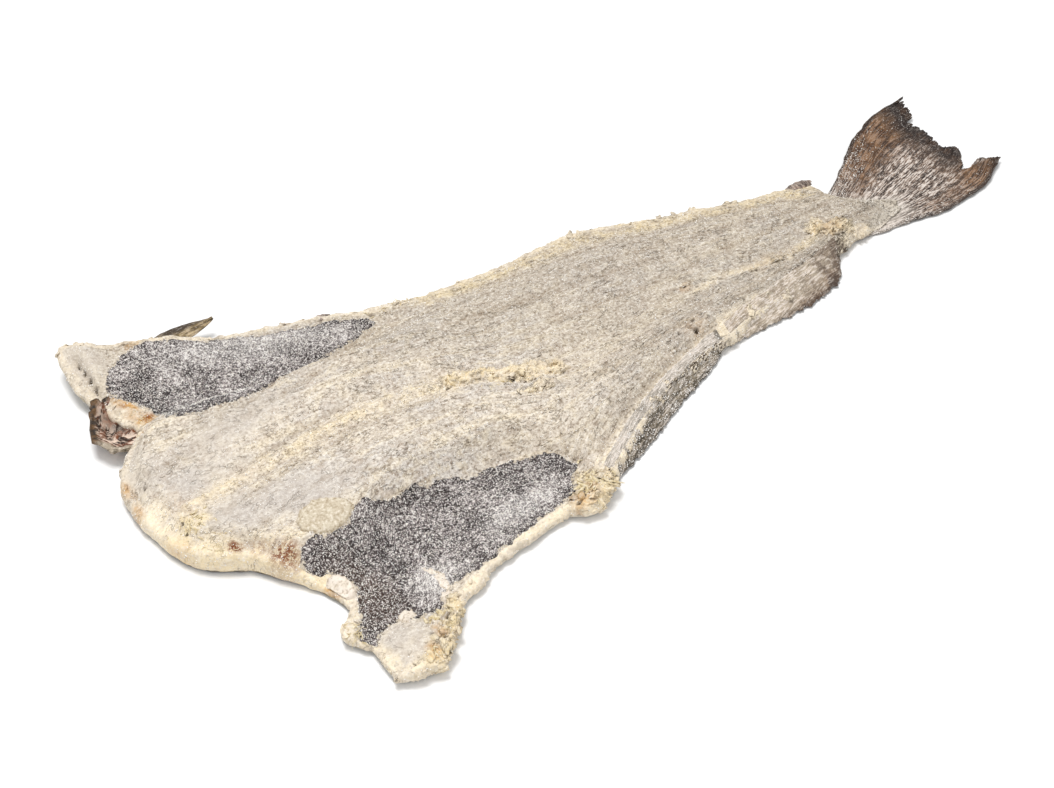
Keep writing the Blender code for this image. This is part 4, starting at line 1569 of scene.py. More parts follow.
def flesh_masks(x: Array, y: Array) -> dict[str, Array]:
    """Work out where the flesh is cream, yellow, smooth, stained or fin-like, where painted shade darkens its
    dips, creases and holes, and where painted shade darkens its far side.

    Args:
        x: Places along.
        y: Places across.

    Returns:
        One mask of 0 to 1 for each name that the flesh's material reads.
    """
    fray = warped(x, y)
    push = STROKE_FRAY * fray / FRAY
    near = y < MIDDLE.at(x)
    knots = strongest(Marks.knots, x, y, fray)
    neck = Marks.neck_rim.at(x, y, push)
    tufted = Marks.tufted.at(x, y, fray)
    tail_line = Marks.tail_line.at(x, y, 0.5 * push)
    cream = np.maximum.reduce([
        np.where(near, 0.75, 0.5) * edge_nearness(x, y, np.where(near, 0.0065, 0.0045)),
        # The neck rim is cream in its own colour; its near part is made creamier, a painted light on the side
        # that faces the front.
        1.15 * neck * (0.25 + 0.75 * ease(0.04, 0.01, y + 0.012 * fray)),
        0.12 * Marks.near_wing.at(x, y, fray),
        0.22 * strongest((Marks.far_wing, Marks.far_rim), x, y, push),
        0.8 * Marks.near_band.at(x, y, push),
        0.75 * knots,
        0.8 * tufted,
        0.5 * Marks.ridge.at(x, y, 0.5 * push),
        0.45 * tail_line])
    yellow = np.maximum.reduce([
        0.3 * Marks.ridge.at(x, y, 0.6 * push) + 0.33 * knots + 0.26 * tail_line,
        0.55 * Marks.far_band.at(x, y, push),
        0.7 * Marks.frill.at(x, y),
        0.49 * Marks.torn.at(x, y, fray),
        0.4 * neck * ease(0.02, -0.02, y),
        0.6 * tufted,
        0.7 * Marks.olive.at(x, y, fray)])
    creased = np.maximum.reduce(
        [nearness for nearness, _ in Marks.creased(x, y)]
        + [0.6 * fold.at(x, y, 0.25 * push) for fold in Marks.neck_folds])
    dips = ease(0.05, -0.45, CRUMB.layered(x, y, 0.0065, 3, 0.6))
    inwards = y - NEAR_EDGE.at(x)
    rear = ease(0.44, 0.495, x) * ease(0.013, 0.002, inwards + 0.02 * fray) * ease(0.54, 0.515, x)
    front = ease(0.29, 0.33, x) * ease(0.0045, 0.0005, inwards) * ease(0.4, 0.375, x)
    masks = {
        "cream": np.clip(cream, 0, 1),
        "yellow": np.clip(yellow, 0, 1),
        "plate": strongest(Marks.plates, x, y, fray),
        # Painted shade: the material darkens the flesh's dips and creases by this mask.
        "low": np.clip(0.55 * dips + 0.75 * creased, 0, 1),
        # Painted shade inside the small holes.
        "hole": hole_depth(x, y),
        "fin": np.maximum(rear, 0.7 * front),
        # Painted shade of the far side, and duller flesh towards the tail and beside the groove.
        "dull_and_far_shade": Marks.darkened(x, y + 0.02 * fray),
        "tail": ease(0.014, 0.001, tongue_inset(x, y) + 0.006 * fray) * ease(0.548, 0.568, x),
    }
    for name, stains in (("ochre", Marks.ochre), ("russet", Marks.russet)):
        masks[name] = np.maximum.reduce([strength * patch.at(x, y, 1.6 * fray) for patch, strength in stains])
    return masks


def tongue_inset(x: Array, y: Array) -> Array:
    """Measure how far inside the rounded tongue each place is, in metres, negative outside it."""
    from_sides = np.minimum(FAR_TONGUE.at(x) - y, y - NEAR_TONGUE.at(x))
    return np.minimum(from_sides, 1.3 * (FLESH_END - x))


@dataclass
class Skin:
    """The skin under the flesh, turned up a little around it, with the back fins pressed flat."""

    rows: int = 300
    columns: int = 110
    rings: int = 3
    wall: float = 0.0006
    clearance: float = 0.0006
    turn_out: float = 0.0016
    turn_up: float = 0.0018
    back_fins: tuple = ((0.12, 0.225, 0.02), (0.27, 0.385, 0.016), (0.425, 0.52, 0.011))

    def build(self) -> Piece:
        """Model the skin.

        Returns:
            The closed mesh object.
        """
        along, across = np.meshgrid(np.linspace(0, 1, self.rows + 1),
                                    np.linspace(-1, 1, self.columns + 1), indexing="ij")
        _, face = flesh_surface(along, across)
        face[..., 2] += self.clearance - SKIN - self.pressed(face[..., 0], face[..., 1])
        lowered = np.minimum(0.0012 * ease(0.548, 0.562, face[..., 0]), face[..., 2] - self.wall - 0.0001)
        face[..., 2] -= np.maximum(lowered, 0)

        def lip_profile(row: Array, column: Array, share: Array) -> tuple:
            """Turn the skin out and up around the flesh, as rolled_grid asks."""
            uneven = 1 + 0.8 * FOLDS.layered(face[row, column, 0], face[row, column, 1], 0.01, 2)
            kept = 1 - 0.9 * ease(0.535, 0.552, face[row, column, 0])
            return self.turn_out * np.sqrt(share) * uneven * kept, self.turn_up * share ** 1.5 * uneven * kept

        piece = rolled_grid("skin", face, self.rings, lip_profile)
        apply_modifier(piece, "SOLIDIFY", thickness=self.wall, offset=1)
        face_outwards(piece)
        _, x, y = plan_points(piece)
        keep(piece, reach=np.abs(FILLET.across_at(x, y)), fin=self.back_fin_mask(x, y))
        keep_flow(piece)
        finish_piece(piece, SkinFinish().build("dried_skin"))
        return piece

    def back_fin_mask(self, x: Array, y: Array) -> Array:
        """Say where the pressed back fins lie.

        Args:
            x: Places along.
            y: Places across.

        Returns:
            1 on a fin and 0 beside it.
        """
        mask = np.zeros(np.shape(x))
        from_middle = y - MIDDLE.at(x)
        for start, end, reach in self.back_fins:
            share = np.clip((x - start) / (end - start), 0, 1)
            height = reach * (0.25 + 0.75 * ease(0, 0.75, share))
            inside = ease(0, 0.05, share) * ease(1, 0.985, share)
            inside = inside * ease(-0.0008, 0.0004, from_middle) * ease(height, height - 0.0012, from_middle)
            mask = np.maximum(mask, inside)
        return mask

    def pressed(self, x: Array, y: Array) -> Array:
        """Say how far the pressed fins and the skin's unevenness stand down, in metres."""
        rays = np.cos((y - MIDDLE.at(x)) * 900 - (x * 700))
        fins = self.back_fin_mask(x, y) * (0.0004 + 0.0001 * rays)
        return fins + 0.00012 * CRUMB.layered(x, y, 0.004, 3, 0.6)


@dataclass(frozen=True)
class Outline:
    """A closed outline of the plan, frayed along its border."""

    points: tuple[tuple[float, float], ...]
    fray: float = 0.0022
    fray_size: float = 0.009
    seed: int = 5

    def inside(self, x: Array, y: Array) -> Array:
        """Measure how far inside the outline places are.

        Args:
            x: Places along.
            y: Places across.

        Returns:
            The distance to the border in metres, negative outside.
        """
        closed = self.points + self.points[:1]
        crossings = np.zeros(x.shape, dtype=int)
        for (x0, y0), (x1, y1) in zip(closed[:-1], closed[1:]):
            between = (y0 > y) != (y1 > y)
            run = y1 - y0 if abs(y1 - y0) > 1e-9 else 1e-9
            crossings += between & (x < x0 + (y - y0) * (x1 - x0) / run)
        border = Stroke(closed, 1).away(x, y)
        signed = np.where(crossings % 2 == 1, border, -border)
        return signed + self.fray * Roughness(self.seed).layered(x, y, self.fray_size, 4, 0.6)


@dataclass
class Sheet:
    """A thin sheet that lies on the flesh and dips into it along its torn border."""

    name: str
    outline: Outline
    stand: float = 0.0006
    sink: float = 0.001
    border: float = 0.0012
    pitch: float = 0.0009
    lumps: float = 0.0005
    lump_size: float = 0.0035
    wall: float = 0.0012
    margin: float = 0.006

    def surface(self, along: Array, across: Array) -> tuple[Array, Array]:
        """Place the sheet's upper face over the flesh.

        Args:
            along: Rows of the flesh.
            across: Columns of the flesh.

        Returns:
            Its points on the plan, and how far inside its outline each one is.
        """
        top, _ = flesh_surface(along, across)
        depth = self.outline.inside(top[..., 0], top[..., 1])
        share = ease(-self.border, self.border, depth)
        lumpy = Roughness(self.outline.seed + 100)
        texture = lumpy.layered(top[..., 0], top[..., 1], self.lump_size, 3, 0.65)
        top[..., 2] += -self.sink + (self.sink + self.stand) * share + self.lumps * texture * share
        return top, depth

    def search(self) -> tuple[tuple[float, float], tuple[float, float]]:
        """Find the part of the flesh that holds the outline.

        Returns:
            Its first and last row, and its first and last column.
        """
        spots = np.array(self.outline.points)
        along, across = np.meshgrid(np.linspace(0, 1, 300), np.linspace(-1, 1, 200), indexing="ij")
        x, y = FILLET.plan(along * FLESH_END / LENGTH, across, tongue=True)
        low = spots.min(axis=0) - self.margin
        high = spots.max(axis=0) + self.margin
        held = (x > low[0]) & (x < high[0]) & (y > low[1]) & (y < high[1])
        return ((along[held].min(), along[held].max()), (across[held].min(), across[held].max()))

    def build(self, material: bpy.types.Material) -> Piece:
        """Model the sheet and dress it.

        Args:
            material: Its material.

        Returns:
            The closed mesh object.
        """
        along, across = self.search()
        rows = int((along[1] - along[0]) * FLESH_END / self.pitch)
        spots = np.array(self.outline.points)
        width = (FAR_EDGE.at(spots[:, 0]) - NEAR_EDGE.at(spots[:, 0])).max()
        columns = int((across[1] - across[0]) * 0.5 * width / self.pitch)
        piece, row, column = add_grid(self.name, rows, columns)
        top, depth = self.surface(along[0] + (along[1] - along[0]) * row / rows,
                                  across[0] + (across[1] - across[0]) * column / columns)
        thicken(piece, top, self.wall, depth < -1.6 * self.border)
        self.mark(piece)
        finish_piece(piece, material)
        return piece

    def mark(self, piece: Piece) -> None:
        """Keep how near the sheet's border each point is, as masks."""
        _, x, y = plan_points(piece)
        depth = self.outline.inside(x, y)
        keep(piece, rim=ease(0.003, 0.0004, depth), blend=ease(0.006, -0.0004, depth))
        keep_flow(piece)


def delete_points(piece: Piece, chosen: Array) -> None:
    """Delete the chosen points of a mesh and the faces on them."""
    edit(piece, (bpy.ops.mesh.select_mode, {"type": "VERT"}), action="DESELECT")
    piece.data.vertices.foreach_set("select", chosen)
    bpy.ops.object.mode_set(mode="EDIT")
    bpy.ops.mesh.delete(type="VERT")
    bpy.ops.object.mode_set(mode="OBJECT")


@dataclass
class BellyLinings:
    """The two dark linings of the belly flaps."""

    near: Outline = Outline((
        (0.065, -0.059), (0.062, -0.065), (0.066, -0.073), (0.074, -0.078), (0.081, -0.084),
        (0.082, -0.094), (0.078, -0.101), (0.075, -0.108), (0.072, -0.117), (0.066, -0.124),
        (0.066, -0.132), (0.072, -0.136), (0.078, -0.131), (0.086, -0.128), (0.103, -0.132),
        (0.113, -0.133), (0.12, -0.129), (0.126, -0.121), (0.15, -0.118), (0.18, -0.11), (0.206, -0.103),
        (0.218, -0.102), (0.228, -0.1), (0.236, -0.087), (0.243, -0.078), (0.238, -0.067), (0.231, -0.06),
        (0.213, -0.053), (0.196, -0.05), (0.181, -0.052), (0.172, -0.047), (0.148, -0.046), (0.132, -0.049),
        (0.112, -0.047), (0.103, -0.051), (0.095, -0.058), (0.085, -0.06),
        (0.076, -0.057)), 0.0022, 0.009, 5)
    far: Outline = Outline((
        (0.026, 0.128), (0.028, 0.137), (0.035, 0.146), (0.042, 0.152), (0.053, 0.157), (0.066, 0.158),
        (0.08, 0.152), (0.101, 0.141), (0.134, 0.128), (0.158, 0.122), (0.18, 0.117), (0.202, 0.109),
        (0.205, 0.102), (0.192, 0.098), (0.178, 0.095), (0.158, 0.091), (0.138, 0.081), (0.119, 0.072),
        (0.104, 0.067), (0.088, 0.067), (0.07, 0.071), (0.056, 0.073), (0.046, 0.079), (0.047, 0.092),
        (0.044, 0.106), (0.035, 0.119)), 0.0018, 0.009, 8)
    browner: Patch = Patch(0.084, -0.101, 0.015, 0.028, 10, 0.6)
    near_pale: tuple = (Patch(0.124, -0.112, 0.016, 0.01, 10, 0.8),
                        Patch(0.192, -0.09, 0.022, 0.009, 10, 0.9))
    far_pale: tuple = (Patch(0.125, 0.124, 0.05, 0.012, -18, 0.9),)
    # Bands of painted shade on each lining.
    near_dim: Stroke = Stroke(((0.078, -0.098), (0.09, -0.07), (0.13, -0.07), (0.15, -0.094)), 0.012)
    far_dim: Stroke = Stroke(((0.036, 0.114), (0.046, 0.097), (0.058, 0.089), (0.08, 0.084)), 0.012)

    def build(self) -> list[Piece]:
        """Model both linings.

        Returns:
            The two mesh objects.
        """
        material = LiningFinish().build("belly_lining")
        pieces = []
        for name, outline, pale, dim, depth in (
                ("near_lining", self.near, self.near_pale, self.near_dim, 0.35),
                ("far_lining", self.far, self.far_pale, self.far_dim, 1)):
            piece = Sheet(name, outline).build(material)
            _, x, y = plan_points(piece)
            fray = warped(x, y)
            # Painted shade, weaker on the near lining.
            keep(piece, brown=self.browner.at(x, y, fray), pale=strongest(pale, x, y, fray),
                 dim=depth * dim.at(x, y, 0.01 * fray))
            pieces.append(piece)
        return pieces


@dataclass
class FatPatches:
    """Smooth pale patches that lie on the flesh: the oval, the flake and the wing's end."""

    patches: tuple = (
        ("oval_membrane", ((0.071, -0.044), (0.077, -0.037), (0.087, -0.034), (0.096, -0.037),
                           (0.104, -0.044), (0.106, -0.051), (0.099, -0.057), (0.088, -0.06),
                           (0.077, -0.058), (0.071, -0.052)), 0.0008),
        ("loose_flake", ((0.069, -0.08), (0.075, -0.077), (0.081, -0.082), (0.083, -0.091), (0.079, -0.098),
                         (0.073, -0.095), (0.069, -0.088)), 0.0014),
        ("lining_streak", ((0.119, -0.098), (0.126, -0.101), (0.13, -0.11), (0.128, -0.122),
                           (0.118, -0.131), (0.115, -0.128), (0.122, -0.12), (0.123, -0.109)), 0.0008),
        ("lining_blob", ((0.091, -0.124), (0.096, -0.122), (0.101, -0.124), (0.1, -0.13), (0.094, -0.131),
                         (0.09, -0.128)), 0.0013),
    )

    def build(self) -> None:
        """Model the patches."""
        pale = PlainFatFinish().build("pale_fat")
        # The last number sets how strongly the border is darkened with painted shade.
        oval = PlainFatFinish(rgb(190, 177, 155), rgb(199, 188, 167),
                              rgb(150, 132, 106), 0.5).build("oval_fat")
        for number, (name, outline, stand) in enumerate(self.patches):
            border = Outline(outline, 0.002, 0.006, 40 + number)
            sheet = Sheet(name, border, stand, 0.0009, 0.0012, 0.0006, 0.0005, 0.004, 0.001, 0.003)
            sheet.build(oval if name == "oval_membrane" else pale)


@dataclass
class TailFin:
    """The tail fin: a thin fan of rays, torn along its end."""

    start: float = 0.772
    rows: int = 150
    columns: int = 270
    thickness: float = 0.0011
    stand: float = 0.0009
    rays: int = 19
    # Tears: column, half width in columns, depth.
    tears: tuple = (
        (0.95, 0.014, 0.008), (0.86, 0.03, 0.003), (0.64, 0.04, 0.006), (0.56, 0.02, 0.003),
        (0.45, 0.03, 0.0025), (0.3, 0.025, 0.003), (0.15, 0.03, 0.003), (0.02, 0.02, 0.002),
        (-0.12, 0.03, 0.003), (-0.26, 0.02, 0.002), (-0.56, 0.05, 0.004), (-0.8, 0.03, 0.0025),
        (0.76, 0.016, 0.0025), (-0.92, 0.016, 0.002))

    def build(self) -> Piece:
        """Model the fin.

        Returns:
            The closed mesh object.
        """
        piece, row, column = add_grid("tail_fin", self.rows, self.columns)
        share = row / self.rows
        across = 2 * column / self.columns - 1
        along = self.start + (1 - self.start) * share
        x, y = FILLET.plan(along, across, tongue=False)
        x = x - self.tear_depth(across) * share ** 5
        base = FILLET.skin(x, across) + self.stand + 0.0003 * ease(0.6, 0, share)
        curl = 0.0007 * WAVE.layered(x, y, 0.03, 2) * ease(0.2, 0.8, share)
        points = np.stack([x, y, base + self.ray_relief(share, across) + curl], axis=-1)
        points[:, 2] = np.maximum(points[:, 2], self.thickness + 0.0002)
        thicken(piece, points, self.thickness)
        self.mark(piece)
        finish_piece(piece, FinFinish().build("tail_fin_skin"))
        return piece

    def tear_depth(self, across: Array) -> Array:
        """Say how far the torn end is set back.

        Args:
            across: Columns of the fin.

        Returns:
            The depth of the tears there, in metres.
        """
        depth = np.zeros(np.shape(across))
        for place, half_width, deep in self.tears:
            depth = np.maximum(depth, deep * np.clip(1 - np.abs(across - place) / half_width, 0, 1))
        fringe = np.abs(CRUMB.layered(across * 0.1, across * 0, 0.0042, 2, 0.7))
        return depth + 0.005 * fringe

    def ray_relief(self, share: Array, across: Array) -> Array:
        """Raise the rays, which fork twice on their way out.

        Args:
            share: How far out along the rays, from 0 to 1.
            across: Columns of the fin.

        Returns:
            Heights in metres.
        """
        wander = across + 0.012 * WAVE.layered(share * 0.05, across * 0.05, 0.012, 2)
        first = np.cos(2 * math.pi * wander * self.rays)
        second = np.cos(4 * math.pi * wander * self.rays)
        third = np.cos(8 * math.pi * wander * self.rays)
        height = first + (second - first) * ease(0.25, 0.45, share)
        height = height + (0.7 * third - height) * ease(0.6, 0.8, share)
        joints = np.cos(2 * math.pi * share * 46 + 3 * across)
        return 0.00024 * height + 0.00005 * joints * ease(0.3, 0.5, share)

    def mark(self, piece: Piece) -> None:
        """Keep the flow along the rays and the masks for salt and for the dark torn rim.

        Args:
            piece: The fin.
        """
        points, x, y = plan_points(piece)
        across = FILLET.across_at(x, y)
        share = (x - 0.56) / 0.13
        fray = 0.1 * WAVE.layered(x, y, 0.012, 3, 0.6)
        salt = ease(0.62, 0.2, across + fray) * ease(0.88, 0.6, share + fray)
        salt = np.maximum(salt, 0.8 * ease(0.35, 0.05, share + fray))
        salt = salt * (1 - 0.65 * ease(-0.5, -0.8, across + fray) * ease(0.3, 0.5, share))
        salt = np.maximum(salt, 0.7 * Patch(0.684, 0.037, 0.01, 0.006).at(x, y, 2 * fray))
        rim = np.maximum.reduce([
            ease(0.66, 0.86, share + 0.5 * fray) * ease(-0.62, -0.35, across),
            0.8 * ease(0.9, 1.02, share + fray),
            0.9 * ease(0.93, 0.98, np.abs(across))])
        keep(piece, flow=np.stack([share * 0.02, across * 0.055, points[:, 2]], axis=-1),
             salt=np.clip(salt, 0, 1), rim=np.clip(rim, 0, 1),
             root=ease(-0.016, -0.001, tongue_inset(x, y) + 0.03 * fray))


@dataclass
class EdgeFin:
    """A dried fin that hangs down from the near edge of the flesh, its rays swept back."""

    name: str
    reach: SmoothCurve
    salted: float
    dark_tip: float
    rooted: tuple[float, float]
    rows: int = 230
    columns: int = 60
    inside: float = 0.009
    thickness: float = 0.0011
    tip_height: float = 0.0019
    fold: float = 0.0007

    def build(self, material: bpy.types.Material) -> Piece:
        """Model the fin.

        Args:
            material: Its material.

        Returns:
            The closed mesh object.
        """
        start = self.reach.points[0][0]
        end = self.reach.points[-1][0]
        piece, row, column = add_grid(self.name, self.rows, self.columns)
        x = start + (end - start) * row / self.rows
        # The first column lies outermost, so that the sheet's upper side faces up.
        share = column / self.columns
        ragged = 1 + 0.22 * FOLDS.layered(x, x * 0, 0.005, 3, 0.7)
        out = self.reach.at(x) * ragged
        outwards = out - (self.inside + out) * share
        x = x + 0.002 * (1 - share) * FOLDS.layered(x, outwards, 0.006, 2)
        y = NEAR_EDGE.at(x) - outwards
        along, across = rows_at(x, np.maximum(y, NEAR_EDGE.at(x) + 0.0006))
        top, _ = flesh_surface(along, across)
        fall = np.clip(outwards / np.maximum(out, 1e-4), 0, 1)
        hang = self.tip_height + (top[:, 2] - self.tip_height) * (1 - fall) ** 1.25
        seam = -0.0007 + 0.0011 * ease(1, 0.86, share)
        pleat = self.fold * np.sin(fall * math.pi) * np.sin(fall * 9)
        rays = 0.00024 * np.cos(share * 2 * math.pi * 15 + 12 * WAVE.smooth(x, y, 0.03))
        grain = 0.00045 * CRUMB.layered(x, y, 0.004, 3, 0.65)
        z = hang + seam + (pleat + rays + grain) * ease(1, 0.8, share)
        z = np.maximum(z, self.thickness + 0.0003)
        thicken(piece, np.stack([x, y, z], axis=-1), self.thickness)
        self.mark(piece, start, end)
        finish_piece(piece, material)
        return piece

    def mark(self, piece: Piece, start: float, end: float) -> None:
        """Keep the flow along the rays and the masks for its root, its salt and its dark tips.

        Args:
            piece: The fin.
            start: Where its root begins along the fish.
            end: Where its root ends.
        """
        points, x, y = plan_points(piece)
        outwards = NEAR_EDGE.at(x) - y
        fray = WAVE.layered(x, y, 0.01, 3, 0.6)
        share = (x - start) / (end - start)
        tip = ease(self.dark_tip, 1, share + 0.25 * fray)
        low, high = self.rooted
        root = ease(high, low, outwards + 0.004 * fray) * (1 - 0.7 * tip)
        strip = ease(0.66, 0.92, outwards / np.maximum(self.reach.at(x), 1e-4) + 0.3 * fray)
        keep(piece, flow=np.stack([x * 0.16, outwards, points[:, 2]], axis=-1),
             root=np.maximum(root, ease(0.08, 0, share)),
             salt=np.clip(self.salted * (1 - tip) + 0.3 * fray, 0, 1),
             rim=np.clip(0.75 * tip + 0.7 * strip + 0.4 * ease(0, -0.5, fray), 0, 1))


@dataclass
class PectoralFin:
    """The leaf-shaped fin that sticks out from under the far edge."""

    root: Vector = Vector((0.062, 0.162, 0.0085))
    tip: Vector = Vector((0.115, 0.1645, 0.01))
    width: float = 0.012
    rows: int = 90
    columns: int = 36
    thickness: float = 0.001

    def build(self, material: bpy.types.Material) -> Piece:
        """Model the fin.

        Args:
            material: Its material.

        Returns:
            The closed mesh object.
        """
        piece, row, column = add_grid("pectoral_fin", self.rows, self.columns)
        share = row / self.rows
        spread = 2 * column / self.columns - 1
        axis = self.tip - self.root
        side = Vector((-axis.y, axis.x, 0)).normalized()
        half = 0.5 * self.width * np.sin(math.pi * (0.18 + 0.82 * share)) ** 0.8
        half = half * (1 + 0.1 * FOLDS.layered(share * 0.06, spread * 0.02, 0.006, 2)) + 0.0004
        points = np.array(self.root)[None, :] + share[:, None] * np.array(axis)[None, :]
        points = points + (half * spread)[:, None] * np.array(side)[None, :]
        points[:, 1] += 0.003 * np.sin(math.pi * share) * (1 - share)
        rays = 0.00022 * np.cos(spread * math.pi * 9)
        camber = 0.0022 * (1 - spread ** 2) * np.sin(math.pi * share)
        twist = 0.0022 * spread * np.sin(math.pi * share)
        points[:, 2] += camber + twist + rays + 0.0035 * share ** 3 + 0.001 * np.exp(-(spread / 0.22) ** 2)
        thicken(piece, points, self.thickness)
        placed, _, _ = plan_points(piece)
        from_root = placed[:, :2] - np.array(self.root)[None, :2]
        direction = np.array(axis)[:2] / np.linalg.norm(np.array(axis)[:2])
        forward = from_root @ direction
        aside = from_root @ np.array(side)[:2]
        upper_band = ease(-0.0004, 0.0014, aside) * ease(1, 0.8, forward / axis.length)
        keep(piece, flow=np.stack([forward * 0.16, aside, placed[:, 2]], axis=-1),
             salt=np.full(len(placed), 0.06), root=np.zeros(len(placed)),
             rim=np.clip(upper_band + ease(0.3, 0.05, forward / axis.length), 0, 1))
        finish_piece(piece, material)
        return piece


@dataclass
class Collar:
    """The cup of skin and bone left under the far wing, with dried blood inside."""

    centre: Vector = Vector((0.039, 0.104, 0))
    reach_x: float = 0.038
    reach_y: float = 0.026
    height: float = 0.0138
    floor: float = 0.0034
    wall: float = 0.0024
    first_angle: float = 78.0
    sweep: float = 214.0
    squareness: float = 0.3
    apex: float = 0.098
    slant: float = 0.45
    clear: float = 0.0026
    bloodied: tuple = (Patch(0.03, 0.114, 0.014, 0.014, 30, 0.6),
                       Patch(0.013, 0.102, 0.004, 0.004, 0, 0.5))
    rows: int = 170
    columns: int = 70

    def build(self) -> Piece:
        """Model the cup.

        Returns:
            The closed mesh object.
        """
        piece, row, column = add_grid("collar_cup", self.rows, self.columns)
        angle = np.radians(self.first_angle + self.sweep * row / self.rows)
        share = 0.25 + 0.75 * column / self.columns
        x, y = self.plan(angle, share)
        uneven = FOLDS.layered(x, y, 0.009, 3, 0.5)
        tall = 0.84 + 0.2 * np.cos(angle - math.radians(128)) + 0.1 * np.sin(3 * angle) + 0.12 * uneven
        z = self.floor + (self.height * tall - self.floor) * ease(0.66, 0.97, share)
        ripples = np.cos(share * 46 + 5 * WAVE.smooth(x, y, 0.009))
        z = z + 0.0008 * ripples * ease(0.4, 0.6, share) * ease(1, 0.9, share)
        z = z + 0.0008 * uneven + 0.0004 * CRUMB.layered(x, y, 0.0035, 3, 0.6)
        top, _ = flesh_surface(*rows_at(x, y))
        under = np.hypot(top[:, 0] - x, top[:, 1] - y) < 0.002
        z = np.where(under, np.minimum(z, top[:, 2] - self.clear), z)
        z = np.maximum(z, self.wall + 0.0004)
        thicken(piece, np.stack([x, y, z], axis=-1), self.wall)
        self.mark(piece)
        finish_piece(piece, CollarFinish().build("bloodied_collar"))
        return piece

    def plan(self, angle: Array, share: Array) -> tuple[Array, Array]:
        """Place points of the cup on the plan, on squarish rings.

        Args:
            angle: How far round the cup, in radians.
            share: How far out from its middle, from 0 to 1.

        Returns:
            The places along and across.
        """
        wide = np.sign(np.cos(angle)) * np.abs(np.cos(angle)) ** self.squareness
        deep = np.sign(np.sin(angle)) * np.abs(np.sin(angle)) ** self.squareness
        grown = share * (1 + 0.05 * FOLDS.layered(angle * 0.03, share * 0, 0.012, 3, 0.7))
        y = self.centre.y + deep * self.reach_y * grown
        return self.centre.x + wide * self.reach_x * grown + self.slant * np.abs(y - self.apex), y

    def mark(self, piece: Piece) -> None:
        """Keep the masks for the outer skin and the blood, and a flow that follows the rim.

        Args:
            piece: The cup.
        """
        points, x, y = plan_points(piece)
        deeper = self.slant * np.abs(y - self.apex)
        wide = np.abs((x - self.centre.x - deeper) / self.reach_x) ** (1 / self.squareness)
        deep = np.abs((y - self.centre.y) / self.reach_y) ** (1 / self.squareness)
        away = np.hypot(wide, deep) ** self.squareness
        angle = np.arctan2(y - self.centre.y, x - self.centre.x)
        fray = warped(x, y, FRAY, 0.006)
        keep(piece, flow=np.stack([angle * 0.02, away * 0.03, points[:, 2]], axis=-1),
             skin=ease(0.84, 0.91, away + 0.2 * fray), low_side=ease(0.096, 0.088, y),
             blood=strongest(self.bloodied, x, y, fray))


@dataclass
class Stump:
    """A short stump of a trimmed fin: a lump of ray ends in dried skin."""

    name: str
    place: Vector
    size: Vector

    def build(self, material: bpy.types.Material) -> Piece:
        """Model the stump.

        Args:
            material: Its material.

        Returns:
            The closed mesh object.
        """
        deselect_all()
        bpy.ops.mesh.primitive_ico_sphere_add(subdivisions=5, radius=0.5)
        piece = bpy.context.object
        piece.name = self.name
        ball = read_points(piece)
        lumps = CRUMB.layered(ball[:, 0] * 0.02 + ball[:, 2] * 0.01, ball[:, 1] * 0.02, 0.006, 3, 0.6)
        ridges = np.cos(ball[:, 0] * 26) * ease(-0.2, 0.3, ball[:, 2])
        grown = 1 + 0.26 * lumps + 0.05 * ridges
        points = ball * grown[:, None] * np.array(self.size) + np.array(self.place)
        write_points(piece, FILLET.to_frame(points))
        face_outwards(piece)
        placed, x, y = plan_points(piece)
        keep(piece, flow=np.stack([y * 0.16, x, placed[:, 2]], axis=-1), salt=ease(0.3, -0.2, lumps),
             root=ease(0.1, -0.5, ball[:, 2]), rim=0.5 * ease(0, -0.4, lumps))
        finish_piece(piece, material)
        return piece


def rows_at(x: Array, y: Array) -> tuple[Array, Array]:
    """Find the flesh's row and column at places of the plan.

    Args:
        x: Places along.
        y: Places across.

    Returns:
        The rows, from 0 to 1, and the columns, from -1 to 1.
    """
    along = x / FLESH_END
    across = np.clip(FILLET.across_at(x, y), -1, 1)
    for _ in range(10):
        found_x, found_y = FILLET.plan(along * FLESH_END / LENGTH, across, tongue=True)
        half = half_width(x, across < 0)
        along = np.clip(along + 0.9 * (x - found_x) / FLESH_END, 0, 1)
        across = np.clip(across + 0.9 * (y - found_y) / np.maximum(half, 0.01), -1, 1)
    return along, across


class Grain(Enum):
    """The shapes that lie scattered on the fish."""

    CRYSTAL = "double pyramid of eight faces"
    CRUMB = "rounded lump of twenty faces"
    NODULE = "rounded lump of eighty faces"
    FIBRE = "thin tapered strand"


def grain_template(kind: Grain) -> Piece:
    """Model one scattered shape, about one unit long and round the origin.

    Args:
        kind: Which shape.

    Returns:
        The mesh object, of triangles.
    """
    deselect_all()
    if kind is Grain.CRYSTAL:
        bpy.ops.mesh.primitive_cone_add(vertices=4, radius1=0.5, depth=0.5, end_fill_type="TRIFAN",
                                        location=(0, 0, 0.25))
        bpy.ops.object.transform_apply(location=True)
        points = read_points(bpy.context.object)
        middle = (np.hypot(points[:, 0], points[:, 1]) < 0.01) & (points[:, 2] < 0.01)
        points[middle, 2] = -0.5
        write_points(bpy.context.object, points)
    elif kind is Grain.FIBRE:
        rings = 6
        bpy.ops.mesh.primitive_circle_add(vertices=5, radius=1, fill_type="NGON")
        bpy.ops.object.mode_set(mode="EDIT")
        bpy.ops.mesh.select_all(action="SELECT")
        for _ in range(rings):
            bpy.ops.mesh.extrude_region_move(TRANSFORM_OT_translate={"value": (0, 0, 1 / rings)})
    else:
        level = 1 if kind is Grain.CRUMB else 2
        bpy.ops.mesh.primitive_ico_sphere_add(subdivisions=level, radius=0.5)
    template = bpy.context.object
    face_outwards(template)
    edit(template, (bpy.ops.mesh.quads_convert_to_tris, {}))
    return template


